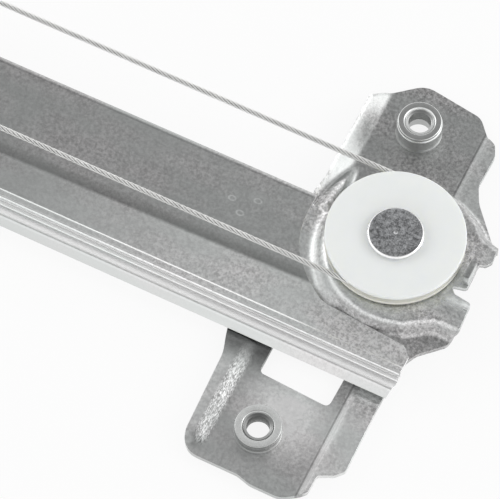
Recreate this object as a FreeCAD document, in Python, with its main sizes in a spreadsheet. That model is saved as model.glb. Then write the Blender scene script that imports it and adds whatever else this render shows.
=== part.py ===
import FreeCAD, Part

# Cable window regulator: one guide rail with a pulley bracket at each end, a carrier that slides on it,
# and a cable drum housing beside the middle of the rail.
# X runs along the rail towards the upper end, Z points off the mounting faces, which lie at Z = 0.
# The origin is the middle of the upper bracket's two mounting nuts. Lengths are in millimetres.

import math
import os
import Sketcher

vec = FreeCAD.Vector

doc = FreeCAD.newDocument("window_regulator")

# Driving dimensions

sizes = {
    # both brackets, drawn from one gauge of sheet
    "mount_spacing": 108.0,
    "bracket_gauge": 1.8,
    "border_level": 3.6,
    "right_border_level": 2.8,
    "seat_level": 6.8,
    "platform_level": 11.6,
    "wing_hole_radius": 4.2,
    "lower_mount_spacing": 104.0,
    # weld nuts
    "nut_radius": 6.85,
    "nut_bore_radius": 3.3,
    "nut_countersink": 1.1,
    "tall_nut_height": 7.0,
    "short_nut_height": 4.2,
    # pulleys
    "pulley_offset_x": 11.0,
    "pulley_offset_y": 13.0,
    "pulley_radius": 20.5,
    "pulley_thickness": 4.8,
    "cable_line_radius": 18.6,
    "pulley_dish_radius": 10.6,
    "pulley_dish_depth": 0.4,
    "washer_thickness": 0.75,
    "washer_radius": 9.0,
    "pin_radius": 5.0,
    "pin_tail_radius": 4.0,
    "pin_head_radius": 8.4,
    "pin_head_height": 1.35,
    "pin_rivet_radius": 6.2,
    "pin_rivet_height": 1.3,
    # cables
    "cable_diameter": 1.5,
    "cable_gap": 0.3,
    # guide rail
    "rail_gauge": 1.5,
    "rail_top_edge": 19.1,
    "rail_crease": -20.9,
    "rail_flange_edge": -29.1,
    "rail_flange_level": 4.5,
    "rail_lip_end": 3.6,
    "rail_joggle": -6.4,
    "rail_joggle_depth": 0.6,
    "rail_end_reach": 18.0,
    "rail_cutout_radius": 27.0,
    # cable drum
    "drum_line_radius": 20.25,
    "drum_wall": 1.2,
    "drum_winding_height": 6.0,
    "drum_floor": 7.0,
    "drum_flange_margin": 1.75,
    "drum_hub_radius": 11.9,
    "drum_socket_radius": 8.0,
    "drum_socket_depth": 8.0,
    "drum_key_width": 3.0,
    "drum_key_reach": 10.0,
    "drum_spigot_radius": 4.0,
    # drum bracket and housing
    "drum_plate_gauge": 2.0,
    "drum_plate_level": 5.0,
    "drum_plate_half_width": 42.0,
    "drum_plate_neck": 6.0,
    "drum_plate_shoulder": 8.0,
    "drum_plate_end_half_width": 16.0,
    "drum_plate_margin": 9.0,
    "drum_plate_inner_edge": 5.0,
    "plate_rivet_row": 12.0,
    "plate_rivet_pitch": 26.0,
    "rivet_head_height": 1.2,
    "dart_height": 3.2,
    "dart_width": 4.0,
    "housing_wall": 1.9,
    "housing_floor": 1.8,
    "housing_clearance": 0.6,
    "cover_thickness": 2.0,
    "cover_rib_depth": 1.0,
    "cover_rib_width": 1.6,
    "cover_hub_radius": 7.5,
    "housing_rib_width": 1.4,
    "screw_head_height": 2.2,
    "housing_screw_offset": 6.0,
    "housing_screw_radius": 2.0,
    "housing_ear_radius": 5.4,
    "housing_ear_height": 4.0,
    "cable_guide_radius": 3.0,
    "cable_guide_length": 11.5,
    "motor_circle_diameter": 68.0,
    "motor_hole_radius": 2.6,
    "motor_nut_radius": 5.0,
    "pilot_wall": 0.8,
    "motor_nut_height": 4.0,
    # carrier
    "carrier_length": 90.0,
    "carrier_travel": 335.0,
    "travel_margin": 7.0,
    "rail_end_margin": 1.0,
    "carrier_top": 17.6,
    "carrier_foot_level": 0.7,
    "slide_gap": 0.3,
    "carrier_hook_wall": 3.2,
    "carrier_inner_edge": 2.0,
    "carrier_pocket_half_length": 24.0,
    "carrier_pocket_width": 5.6,
    "carrier_plate_gauge": 2.0,
    "carrier_plate_reach": 24.0,
    "carrier_rivet_depth": 5.5,
    "carrier_rivet_row": -20.0,
    "carrier_rivet_margin": 9.0,
    "hook_window_length": 34.0,
    "side_recess_depth": 1.2,
    "side_recess_count": 6,
    "side_rib_width": 3.0,
    "plate_overhang": 1.0,
    "plate_lower_margin": 7.0,
    "glass_arm_half_width": 14.0,
    "plate_bead_length": 62.0,
    "plate_bead_half_width": 3.2,
    "plate_bead_height": 1.0,
    "glass_hole_spacing": 76.0,
    "glass_hole_offset": 12.0,
    "glass_hole_radius": 3.5,
    "glass_pad_radius": 9.0,
    "glass_pad_height": 2.0,
    "nipple_radius": 2.5,
    "nipple_length": 6.0,
    "spring_radius": 2.6,
    "spring_wire": 0.9,
    "spring_turns": 5.5,
    # rubber stop
    "stop_length": 12.0,
    "stop_gap": 1.0,
    "stop_height": 8.0,
    "stop_width": 10.2,
    "stop_row": -14.0,
    "stop_rounding": 1.2,
    "stop_stem_radius": 3.0,
    "stop_barb_height": 1.2,
    # clearance of a pilot, a spigot or a shaft in its hole
    "fit_clearance": 0.06,
}

sheet = doc.addObject("Spreadsheet::Sheet", "Sizes")
for row, (name, value) in enumerate(sizes.items(), start=1):
    sheet.set("A%d" % row, name)
    sheet.set("B%d" % row, str(value))
    sheet.setAlias("B%d" % row, name)
doc.recompute()


def size(name):
    return float(sheet.get(name))


# Places worked out from the driving dimensions

upper_pulley = vec(size("pulley_offset_x"), size("pulley_offset_y"), 0)
span_parts = ("carrier_travel", "travel_margin", "carrier_length", "stop_gap", "stop_length",
              "rail_end_margin")
pulley_span = sum(size(part) for part in span_parts) + 2 * size("rail_cutout_radius")
span_words = " + ".join("Sizes." + part for part in span_parts) + " + 2 * Sizes.rail_cutout_radius"
lower_pulley = upper_pulley - vec(pulley_span, 0, 0)
middle_x = (upper_pulley.x + lower_pulley.x) / 2
gauge = size("bracket_gauge")
seat = size("seat_level")
platform = size("platform_level")
web_top = seat + size("rail_gauge")
fit = size("fit_clearance")
pulley_floor = platform + size("washer_thickness") + fit
cable_level = pulley_floor + size("pulley_thickness") / 2
cable_radius = size("cable_diameter") / 2
inner_run_y = upper_pulley.y - size("cable_line_radius")
outer_run_y = upper_pulley.y + size("cable_line_radius")
drum_axis = vec(middle_x, outer_run_y + size("drum_line_radius"), 0)
stop_start = lower_pulley.x + size("rail_cutout_radius") + size("rail_end_margin")
carrier_x = stop_start + size("stop_length") + size("stop_gap") + size("carrier_length") / 2


deep = 60.0     # longer than any piece is thick, for tools that cut right through

# Outline helpers

def rounded_edges(points, closed=True):
    """Lines and tangent arcs through (x, y, radius) points."""
    count = len(points)
    corners = []
    for index, (x, y, radius) in enumerate(points):
        here = vec(x, y, 0)
        if radius == 0 or (not closed and index in (0, count - 1)):
            corners.append((here, None, here))
            continue
        before = vec(points[index - 1][0], points[index - 1][1], 0)
        after = vec(points[(index + 1) % count][0], points[(index + 1) % count][1], 0)
        back = (before - here).normalize()
        ahead = (after - here).normalize()
        half = back.getAngle(ahead) / 2
        tangent = radius / math.tan(half)
        centre = here + (back + ahead).normalize() * (radius / math.sin(half))
        middle = centre + (here - centre).normalize() * radius
        corners.append((here + back * tangent, middle, here + ahead * tangent))
    edges = []
    for index, (start, middle, end) in enumerate(corners):
        if middle is not None:
            edges.append(Part.Arc(start, middle, end))
        if index + 1 < count or closed:
            following = corners[(index + 1) % count][0]
            if end.distanceToPoint(following) > 1e-6:
                edges.append(Part.LineSegment(end, following))
    return edges


def outline_face(points, level=0.0):
    wire = Part.Wire([edge.toShape() for edge in rounded_edges(points)])
    face = Part.Face(wire)
    face.translate(vec(0, 0, level))
    return face


def prism(points, bottom, top):
    return outline_face(points, bottom).extrude(vec(0, 0, top - bottom))


def shifted_line(first, second, distance):
    """Two points of the line to the left of first-second at the distance."""
    along = (second - first).normalize()
    side = vec(-along.y, along.x, 0) * distance
    return first + side, second + side


def meeting_point(line_a, line_b):
    (a, b), (c, d) = line_a, line_b
    along = b - a
    other = d - c
    cross = along.x * other.y - along.y * other.x
    if abs(cross) < 1e-9:
        return b
    share = ((c.x - a.x) * other.y - (c.y - a.y) * other.x) / cross
    return a + along * share


def offset_points(points, distance):
    """A closed outline moved to its left by the distance, with its corners kept sharp."""
    corners = [vec(x, y, 0) for x, y in points]
    lines = [
        shifted_line(corners[index], corners[(index + 1) % len(corners)], distance)
        for index in range(len(corners))
    ]
    return [meeting_point(lines[index - 1], lines[index]) for index in range(len(lines))]


def strip_points(points, thickness):
    """The closed outline of bent sheet whose one side follows (x, y, bend radius) points.

    The sheet lies to the left of the points. A bend's radius is that of its inner side.
    """
    corners = [vec(x, y, 0) for x, y, radius in points]
    lines = [
        shifted_line(corners[index], corners[index + 1], thickness) for index in range(len(corners) - 1)
    ]
    other = [lines[0][0]]
    for index in range(1, len(lines)):
        other.append(meeting_point(lines[index - 1], lines[index]))
    other.append(lines[-1][1])
    near_side = []
    far_side = []
    for index, (x, y, radius) in enumerate(points):
        near = far = 0
        if radius:
            before = corners[index] - corners[index - 1]
            after = corners[index + 1] - corners[index]
            turns_left = before.x * after.y - before.y * after.x > 0
            near = radius + thickness if turns_left else radius
            far = radius if turns_left else radius + thickness
        near_side.append((x, y, near))
        far_side.append((other[index].x, other[index].y, far))
    return near_side + far_side[::-1]


# Document helpers

def bind(thing, **expressions):
    for name, expression in expressions.items():
        thing.setExpression(name.replace("__", "."), expression)


def cylinder(name, radius, height, place, level):
    """A Part cylinder whose radius, height and level are expressions of the sheet."""
    thing = doc.addObject("Part::Cylinder", name)
    thing.Placement.Base = vec(place.x, place.y, 0)
    bind(thing, Radius=radius, Height=height, Placement__Base__z=level)
    return thing


def fuse(name, things):
    thing = doc.addObject("Part::MultiFuse", name)
    thing.Shapes = things
    return thing


def cut(name, base, tool):
    thing = doc.addObject("Part::Cut", name)
    thing.Base = base
    thing.Tool = tool
    return thing


def feature(label, shape):
    thing = doc.addObject("Part::Feature", label)
    thing.Shape = shape
    return thing


def origin_plane(body, role):
    for plane in body.Origin.OriginFeatures:
        if plane.Role == role:
            return plane


def add_sketch(body, name, role, edges, level=None):
    sketch = body.newObject("Sketcher::SketchObject", name)
    sketch.AttachmentSupport = [(origin_plane(body, role), "")]
    sketch.MapMode = "FlatFace"
    if level:
        sketch.setExpression("AttachmentOffset.Base.z", level)
    for edge in edges:
        sketch.addGeometry(edge)
    return sketch


def add_hole_sketch(body, name, role, places, radius):
    """Circles of one radius, held by constraints that read the sheet."""
    sketch = add_sketch(body, name, role, [])
    for place in places:
        index = sketch.addGeometry(Part.Circle(vec(place.x, place.y, 0), vec(0, 0, 1), 1))
        constraint = sketch.addConstraint(Sketcher.Constraint("Radius", index, 1.0))
        sketch.setExpression("Constraints[%d]" % constraint, radius)
    return sketch


def add_pad(body, sketch, length, both_ways=False):
    pad = body.newObject("PartDesign::Pad", sketch.Name + "_pad")
    pad.Profile = sketch
    pad.Midplane = both_ways
    pad.setExpression("Length", length)
    return pad


def add_pocket(body, sketch):
    """A pocket right through the piece, both ways from its sketch."""
    pocket = body.newObject("PartDesign::Pocket", sketch.Name + "_pocket")
    pocket.Profile = sketch
    pocket.Type = 1
    pocket.Midplane = True
    return pocket


parts = {}


def keep(label, thing):
    """Names a finished sub-part; its label is its file's name."""
    thing.Label = label
    parts[label] = thing


# Drawn brackets

def raised_area(corners, top, slope, sink, inset):
    """A flat-topped rise with sloping sides: the (x, y) corners bound its top.

    Sunk and inset by the sheet's gauge, the same rise gives the underside.
    """
    level = top - sink
    shrink = inset * math.tan(math.radians(slope) / 2)
    spread = (level - foot_level) / math.tan(math.radians(slope))
    upper = offset_points(corners, shrink)
    lower = offset_points(corners, shrink - spread)
    top_wire = Part.makePolygon([corner + vec(0, 0, level) for corner in upper + upper[:1]])
    foot_wire = Part.makePolygon([corner + vec(0, 0, foot_level) for corner in lower + lower[:1]])
    return Part.makeLoft([foot_wire, top_wire], True, True)


def raised_round(place, radius, top, slope, sink, inset):
    level = top - sink
    top_radius = radius - inset * math.tan(math.radians(slope) / 2)
    foot_radius = top_radius + (level - foot_level) / math.tan(math.radians(slope))
    return Part.makeCone(foot_radius, top_radius, level - foot_level, vec(place.x, place.y, foot_level))


far = 70.0          # reach of relief past the bracket's outline
foot_level = -6.0   # where every slope of the relief is cut off, below the sheet
dome_centre = vec(14.0, 12.0, 0)
dome_radius = 23.3
dome_slope = 75.0
broad_radius = 25.6
broad_slope = 50.0
broad_left_x = -30.0
broad_right_x = -11.0   # past this the wing's flat floor runs up to the platform's own wall
seat_slope = 50.0
arm_slope = 66.0
flange_bend_x = -12.7
flange_slope = 42.0
valley_y = 16.2     # the seat's upper end, where the wing's valley starts
seat_foot_y = -18.0
right_bend_x = 19.9     # where the wings' right borders reach their level
right_slope = 35.0
tab_corner = vec(33.9, 9.6, 0)
tab_length = 6.4
tab_height = 4.9        # of the keeper tab, above the platform
tab_rounding = 0.8
slit_corner = vec(31.5, 1.6, 0)
slit_length = 12.0
slit_width = 0.5
window_outline = [(-8.0, -25.0, 1), (-8.0, -37.2, 1.6), (14.6, -38.4, 1.6), (15.0, -25.0, 1)]


def bracket_relief(sink, inset):
    """The upper side of the drawn sheet, or its underside when sunk and inset by the gauge."""
    border = size("border_level")
    right_border = size("right_border_level")
    floor = gauge - sink
    pieces = [Part.makeBox(4 * far, 4 * far, floor - foot_level, vec(-2 * far, -2 * far, foot_level))]
    low_seat = seat - size("rail_joggle_depth")
    seat_step = size("rail_joggle") + 0.4
    pieces.append(raised_area([(-far, 0.0), (-far, seat_foot_y), (far, seat_foot_y), (far, 0.0)],
                              low_seat, seat_slope, sink, inset))
    pieces.append(raised_area([(-far, valley_y), (-far, seat_step), (far, seat_step), (far, -4.0),
                               (11.0, -4.0), (11.0, valley_y)], seat, seat_slope, sink, inset))
    # the pulley's platform, which runs out to the right-hand edge
    pieces.append(raised_round(dome_centre, dome_radius, platform, dome_slope, sink, inset))
    arm = [(11.0, 33.0), (14.0, -8.0), (24.0, -9.2), (29.0, -5.6), (32.0, -4.0), (far, -4.4), (far, 22.6),
           (38.4, 24.2), (30.5, 25.8), (25.7, 29.2), (20.4, 33.0)]
    pieces.append(raised_area(arm, platform, arm_slope, sink, inset))
    pieces.append(raised_area([(30.6, -0.2), (38.6, -0.2), (38.6, 3.2), (30.6, 3.2)], platform + 0.9, 50,
                              sink, inset))
    # the broad slope on the platform's far side, towards the upper wing
    broad = raised_round(vec(dome_centre.x, upper_pulley.y, 0), broad_radius, platform, broad_slope,
                         sink, inset)
    pieces.append(broad.common(Part.makeBox(broad_right_x - broad_left_x, deep, deep,
                                            vec(broad_left_x, valley_y, foot_level))))
    # borders of the upper wing
    pieces.append(raised_area([(right_bend_x, far), (right_bend_x, 30.0), (far, 30.0 - far / 2), (far, far)],
                              right_border, right_slope, sink, inset))
    rise = math.tan(math.radians(flange_slope))
    start = flange_bend_x - inset * math.tan(math.radians(flange_slope) / 2)
    edge = start - 20
    wedge = Part.makePolygon([vec(start, valley_y, floor), vec(edge, valley_y, floor + 20 * rise),
                              vec(edge, valley_y, foot_level), vec(start, valley_y, foot_level),
                              vec(start, valley_y, floor)])
    wedge = Part.Face(wedge).extrude(vec(0, far, 0))
    pieces.append(wedge)
    # borders of the lower wing
    border_start = size("rail_flange_edge") - 2.8
    pieces.append(raised_area([(-far, border_start), (-far, -62.5), (-16.4, -62.5), (-16.4, border_start)],
                              border, 35, sink, inset))
    pieces.append(raised_area([(right_bend_x, border_start), (right_bend_x, -far), (far, -far),
                               (far, border_start)], right_border, right_slope, sink, inset))
    relief = pieces[0].multiFuse(pieces[1:])
    return relief.removeSplitter()


def bracket_outline(upper_hole_y, lower_hole_y):
    """The sheared edge of the bracket, seen from above, anticlockwise."""
    up = upper_hole_y
    down = lower_hole_y
    return [
        (-18.2, down - 14.4, 6), (0.5, down - 14.4, 4), (5.0, down - 15.6, 4), (14.5, down - 15.6, 6),
        (21.0, down - 11.0, 2), (21.0, down - 5.2, 1.2), (25.5, down - 3.0, 2), (27.7, down - 0.6, 2),
        (27.3, -24.0, 3), (28.6, -18.5, 3), (31.0, -14.0, 4), (37.4, -7.8, 3), (38.2, -4.6, 1),
        (39.2, -3.6, 0.8), (38.9, 4.8, 1), (33.4, 5.6, 0.6), (31.4, 7.6, 0.6), (35.8, 8.6, 0.8),
        (35.8, 17.4, 0.6), (37.6, 17.8, 0.8), (38.9, 19.6, 0.8), (38.4, 25.4, 1),
        (26.2, 39.6, 12), (23.6, 45.0, 6), (23.9, up + 2.0, 3), (22.3, up + 5.6, 2), (19.2, up + 7.2, 1),
        (14.6, up + 12.6, 5), (-4.6, up + 15.4, 7), (-14.4, up + 7.2, 3), (-17.8, up + 3.0, 2),
        (-17.7, 34.0, 20), (-17.6, 27.0, 10), (-18.5, 19.7, 0.5), (-15.7, 19.7, 0.5),
        (-15.7, valley_y - 0.4, 0.5),
        (-46.0, valley_y - 0.4, 6), (-46.0, -16.0, 6), (-22.6, -19.0, 3), (-22.4, -28.4, 3),
        (-19.6, -37.0, 12),
    ]


def keeper_tab():
    """The upright tab that keeps the cable in the pulley's groove."""
    tab = Part.makeBox(gauge, tab_length, tab_height + gauge, tab_corner + vec(0, 0, platform - gauge))
    corner_edges = [edge for edge in tab.Edges if edge.CenterOfMass.z > platform + tab_height - 0.01
                    and abs(edge.Vertexes[0].Y - edge.Vertexes[1].Y) < 0.01]
    return tab.makeFillet(tab_rounding, corner_edges)


def drawn_bracket(upper_hole_y, lower_hole_y):
    relief = bracket_relief(0, 0)
    underside = bracket_relief(gauge, gauge)
    blank = prism(bracket_outline(upper_hole_y, lower_hole_y), -1.0, platform + gauge + 2)
    shape = blank.common(relief).cut(underside)
    shape = shape.fuse(keeper_tab())
    slit = Part.makeBox(slit_length, slit_width, deep, slit_corner + vec(0, 0, platform - 2 * gauge))
    shape = shape.cut(slit)
    for hole_y in (upper_hole_y, lower_hole_y):
        shape = shape.cut(Part.makeCylinder(size("wing_hole_radius"), deep, vec(0, hole_y, -deep / 2)))
    shape = shape.cut(Part.makeCylinder(size("pin_tail_radius"), deep, upper_pulley - vec(0, 0, deep / 2)))
    shape = shape.cut(prism(window_outline, -deep / 2, deep / 2))
    return shape.removeSplitter()


half_spacing = size("mount_spacing") / 2
lower_half_spacing = size("lower_mount_spacing") / 2
keep("upper_bracket", feature("upper_bracket", drawn_bracket(half_spacing, -half_spacing)))
lower_shape = drawn_bracket(lower_half_spacing, -lower_half_spacing)
lower_shape = lower_shape.mirror(vec(middle_x, 0, 0), vec(1, 0, 0))
stop_place = vec(stop_start + size("stop_length") / 2, size("stop_row"), 0)
lower_shape = lower_shape.cut(Part.makeCylinder(size("stop_stem_radius"), deep, stop_place))
keep("lower_bracket", feature("lower_bracket", lower_shape))


# Weld nuts

def weld_nut(name, place, height):
    """A round nut whose pilot fills the sheet's hole down to the mounting face."""
    barrel = cylinder(name + "_barrel", "Sizes.nut_radius", height, place, "Sizes.bracket_gauge")
    pilot = cylinder(name + "_pilot", "Sizes.wing_hole_radius - Sizes.fit_clearance", "Sizes.bracket_gauge",
                     place, "0")
    blank = fuse(name + "_blank", [barrel, pilot])
    rim = doc.addObject("Part::Chamfer", name + "_rim")
    rim.Base = blank
    doc.recompute()
    rim.Edges = [(index + 1, 0.5, 0.5) for index, edge in enumerate(blank.Shape.Edges)
                 if edge.isClosed() and edge.CenterOfMass.z > gauge + 1]
    bore = cylinder(name + "_bore", "Sizes.nut_bore_radius", height + " + 4", place, "-1")
    sink = doc.addObject("Part::Cone", name + "_countersink")
    sink.Placement.Base = vec(place.x, place.y, 0)
    bind(sink, Radius1="Sizes.nut_bore_radius", Radius2="Sizes.nut_bore_radius + Sizes.nut_countersink",
         Height="Sizes.nut_countersink",
         Placement__Base__z="Sizes.bracket_gauge + " + height + " - Sizes.nut_countersink")
    return cut(name, rim, fuse(name + "_hole", [bore, sink]))


lower_mount_x = 2 * middle_x
tall_places = (vec(0, half_spacing, 0), vec(lower_mount_x, lower_half_spacing, 0))
short_places = (vec(0, -half_spacing, 0), vec(lower_mount_x, -lower_half_spacing, 0))
for label, places, height in (("tall_weld_nuts", tall_places, "Sizes.tall_nut_height"),
                              ("short_weld_nuts", short_places, "Sizes.short_nut_height")):
    nuts = [weld_nut("%s_%d" % (label, index), place, height) for index, place in enumerate(places)]
    group = doc.addObject("Part::Compound", label)
    group.Links = nuts
    keep(label, group)


# Guide rail

def rail_side():
    """The rail's outer side, from the lip to the curled flange, as (y, z, bend radius) points."""
    edge = size("rail_top_edge")
    crease = size("rail_crease")
    joggle = size("rail_joggle")
    flange_edge = size("rail_flange_edge")
    flange = size("rail_flange_level")
    low_web = web_top - size("rail_joggle_depth")
    return [
        (edge, size("rail_lip_end"), 0), (edge, web_top, 0.9),
        (joggle, web_top, 3), (joggle - 2.4, low_web, 3),
        (crease, low_web, 0.4), (crease - 0.8, web_top - 0.1, 0.2), (crease - 2.9, web_top, 0.5),
        (crease - 4.4, flange, 0.6), (flange_edge + 1.2, flange, 0.6), (flange_edge, flange - 0.9, 0),
    ]


rail_profile = strip_points(rail_side(), size("rail_gauge"))
rail_end = upper_pulley.x + size("rail_end_reach")


def rail_end_cut(turn):
    """The region past the rail's end, round the pulley's platform; turn is 1, or -1 at the lower end."""
    centre = upper_pulley
    radius = size("rail_cutout_radius")
    low = centre + vec(-11.0, 0, 0)
    low.y = centre.y - math.sqrt(radius ** 2 - 11.0 ** 2)
    side = centre + vec(-radius, 0, 0)
    knee = centre + vec(-radius * math.cos(math.pi / 5), -radius * math.sin(math.pi / 5), 0)
    corner = vec(side.x, side.y + 3, 0)
    spots = [side, low, vec(rail_end - 2.2, -14.3, 0), vec(rail_end + 0.2, -16.6, 0),
             vec(rail_end, -25.2, 0), vec(rail_end - 1.8, -32.0, 0), vec(rail_end + 40, -32.0, 0),
             vec(rail_end + 40, 40, 0), vec(corner.x, 40, 0), corner]
    if turn < 0:
        mirrored = []
        for spot in spots + [knee]:
            mirrored.append(vec(2 * middle_x - spot.x, spot.y, 0))
        spots, knee = mirrored[:-1], mirrored[-1]
    edges = [Part.Arc(spots[0], knee, spots[1])]
    for first, second in zip(spots[1:], spots[2:] + spots[:1]):
        edges.append(Part.LineSegment(first, second))
    return edges


rail = doc.addObject("PartDesign::Body", "guide_rail_body")
profile = add_sketch(rail, "rail_profile", "YZ_Plane", rounded_edges(rail_profile))
profile.setExpression("AttachmentOffset.Base.z", "Sizes.pulley_offset_x + Sizes.rail_end_reach + 1")
rail_pad = add_pad(rail, profile, span_words + " + 2 * Sizes.rail_end_reach + 2")
rail_pad.Reversed = True
for turn, word in ((1, "upper"), (-1, "lower")):
    end_cut = add_sketch(rail, "rail_%s_end" % word, "XY_Plane", rail_end_cut(turn))
    add_pocket(rail, end_cut)
plate_rivet_places = [vec(drum_axis.x + step * size("plate_rivet_pitch"), size("plate_rivet_row"), 0)
                      for step in (-1, 0, 1)]
rivet_holes = add_hole_sketch(rail, "rail_rivet_holes", "XY_Plane", plate_rivet_places,
                              "Sizes.housing_screw_radius")
add_pocket(rail, rivet_holes)
stop_hole = add_hole_sketch(rail, "rail_stop_hole", "XY_Plane", [stop_place], "Sizes.stop_stem_radius")
add_pocket(rail, stop_hole)
keep("guide_rail", rail)


# Pulleys, their washers and their riveted pins

def pulley(label, place):
    """A moulded wheel with a cable groove, turned as one profile of (radius, level) points."""
    floor = pulley_floor
    top = pulley_floor + size("pulley_thickness")
    half_groove = cable_radius + size("cable_gap")
    groove = size("cable_line_radius") - cable_radius - size("cable_gap")
    rim = size("pulley_radius")
    bore = size("pin_radius") + fit
    dish = size("pulley_dish_radius")
    depth = size("pulley_dish_depth")
    points = [(bore, floor, 0), (rim, floor, 0.4), (rim, cable_level - half_groove - 0.3, 0.3),
              (groove, cable_level - half_groove, 0.7), (groove, cable_level + half_groove, 0.7),
              (rim, cable_level + half_groove + 0.3, 0.3), (rim, top, 0.5), (dish + 0.8, top, 0.6),
              (dish, top - depth, 0.2), (bore, top - depth, 0)]
    body = doc.addObject("PartDesign::Body", label + "_body")
    sketch = add_sketch(body, label + "_profile", "XZ_Plane", rounded_edges(points))
    turned = body.newObject("PartDesign::Revolution", label + "_wheel")
    turned.Profile = sketch
    turned.ReferenceAxis = (sketch, ["V_Axis"])
    turned.Angle = 360
    body.Placement.Base = vec(place.x, place.y, 0)
    keep(label, body)


head_words = ("(Sizes.platform_level + Sizes.washer_thickness + Sizes.pulley_thickness"
              " - Sizes.pulley_dish_depth + 2 * Sizes.fit_clearance)")
for word, place in (("upper", upper_pulley), ("lower", lower_pulley)):
    pulley(word + "_pulley", place)
    label = word + "_pulley_washer"
    disc = cylinder(label + "_disc", "Sizes.washer_radius", "Sizes.washer_thickness", place,
                    "Sizes.platform_level")
    hole = cylinder(label + "_hole", "Sizes.pin_radius", "10", place, "Sizes.platform_level - 2")
    keep(label, cut(label + "_ring", disc, hole))
    label = word + "_pulley_pin"
    head_level = pulley_floor + size("pulley_thickness") - size("pulley_dish_depth") + fit
    shank = cylinder(label + "_shank", "Sizes.pin_radius", head_words + " - Sizes.platform_level", place,
                     "Sizes.platform_level")
    tail = cylinder(label + "_tail", "Sizes.pin_tail_radius", "Sizes.bracket_gauge", place,
                    "Sizes.platform_level - Sizes.bracket_gauge")
    clench = cylinder(label + "_clench", "Sizes.pin_rivet_radius", "Sizes.pin_rivet_height", place,
                      "Sizes.platform_level - Sizes.bracket_gauge - Sizes.pin_rivet_height")
    head = cylinder(label + "_head", "Sizes.pin_head_radius", "Sizes.pin_head_height", place, head_words)
    pin = fuse(label + "_pin", [shank, tail, clench, head])
    doc.recompute()
    bevel = doc.addObject("Part::Chamfer", label + "_bevel")
    bevel.Base = pin
    top_level = head_level + size("pin_head_height")
    bevel.Edges = [(index + 1, 0.55, 0.55) for index, edge in enumerate(pin.Shape.Edges)
                   if edge.isClosed() and abs(edge.CenterOfMass.z - top_level) < 0.01]
    keep(label, bevel)


# Cables: straight runs, an arc round each pulley, and the turns held on the drum

def cable(label, pulley_place, inner_end, turn, winding_floor, winding_level):
    """turn is 1 for the upper pulley, whose arc bulges towards +X, and -1 for the lower one."""
    start = vec(inner_end, inner_run_y, cable_level)
    near = vec(pulley_place.x, inner_run_y, cable_level)
    crown = vec(pulley_place.x + turn * size("cable_line_radius"), pulley_place.y, cable_level)
    away = vec(pulley_place.x, outer_run_y, cable_level)
    end = vec(drum_axis.x, outer_run_y, winding_level)
    path = Part.Wire([Part.LineSegment(start, near).toShape(), Part.Arc(near, crown, away).toShape(),
                      Part.LineSegment(away, end).toShape()])
    section = Part.Wire([Part.Circle(start, vec(1, 0, 0), cable_radius).toShape()])
    tube = path.makePipeShell([section], True, False, 1)
    winding = Part.makeCylinder(size("drum_line_radius") + cable_radius + 0.05, size("drum_winding_height"),
                                vec(drum_axis.x, drum_axis.y, winding_floor))
    winding = winding.cut(Part.makeCylinder(size("drum_line_radius") - cable_radius - 0.05,
                                            size("drum_winding_height") + 2,
                                            vec(drum_axis.x, drum_axis.y, winding_floor - 1)))
    share = tube.Volume / (path.Length * math.pi * cable_radius ** 2)
    print(label, "run", round(path.Length, 1), "bend", size("cable_line_radius"), "share", round(share, 4))
    keep(label, feature(label, tube.fuse(winding)))


drum_bed = size("drum_floor") + size("drum_wall")
winding_height = size("drum_winding_height")
winding_gap = 0.4
lowering_floor = drum_bed + winding_gap
lift_floor = lowering_floor + winding_height + winding_gap
cable("lift_cable", upper_pulley, carrier_x + 0.15, 1, lift_floor, lift_floor + cable_radius + 0.05)
cable("lowering_cable", lower_pulley, carrier_x - 0.15, -1, lowering_floor,
      lowering_floor + winding_height - cable_radius - 0.05)


# Cable drum, with its drive socket open to the motor's side

drum_top = lift_floor + winding_height + winding_gap + size("drum_wall")
drum_flange_radius = size("drum_line_radius") + size("drum_flange_margin")
barrel_radius = size("drum_line_radius") - cable_radius - size("cable_gap")
housing_seat = size("drum_plate_level")
spigot_length = 5.5


def drum_profile():
    """The drum's half section as (radius, level) points, with its socket left solid."""
    floor = size("drum_floor")
    flange = drum_flange_radius
    bore = size("drum_spigot_radius") + fit
    pit = drum_top - spigot_length - 0.5
    hub = size("drum_hub_radius")
    under_flange = drum_top - size("drum_wall")
    return [(0.0, housing_seat, 0), (hub, housing_seat, 0.4), (hub, floor, 0), (flange, floor, 0.3),
            (flange, drum_bed, 0), (barrel_radius, drum_bed, 0), (barrel_radius, under_flange, 0),
            (flange, under_flange, 0), (flange, drum_top, 0.3), (bore, drum_top, 0),
            (bore, pit, 0), (0.0, pit, 0)]


drum = doc.addObject("PartDesign::Body", "cable_drum_body")
drum_sketch = add_sketch(drum, "drum_profile", "XZ_Plane", rounded_edges(drum_profile()))
drum_turned = drum.newObject("PartDesign::Revolution", "drum_wheel")
drum_turned.Profile = drum_sketch
drum_turned.ReferenceAxis = (drum_sketch, ["V_Axis"])
drum_turned.Angle = 360
drum.Placement.Base = vec(drum_axis.x, drum_axis.y, 0)
socket = cylinder("drum_socket", "Sizes.drum_socket_radius", "Sizes.drum_socket_depth", drum_axis,
                  "Sizes.drum_plate_level")
socket_cuts = [socket]
for number in range(3):
    key = doc.addObject("Part::Box", "drum_key_%d" % number)
    turn = FreeCAD.Rotation(vec(0, 0, 1), 120 * number)
    offset = turn.multVec(vec(0, -size("drum_key_width") / 2, 0))
    key.Placement = FreeCAD.Placement(vec(drum_axis.x, drum_axis.y, housing_seat) + offset, turn)
    bind(key, Length="Sizes.drum_key_reach", Width="Sizes.drum_key_width", Height="Sizes.drum_socket_depth")
    socket_cuts.append(key)
keep("cable_drum", cut("cable_drum_cut", drum, fuse("drum_socket_form", socket_cuts)))


# Drum bracket: a stepped plate riveted on the rail's web

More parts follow.
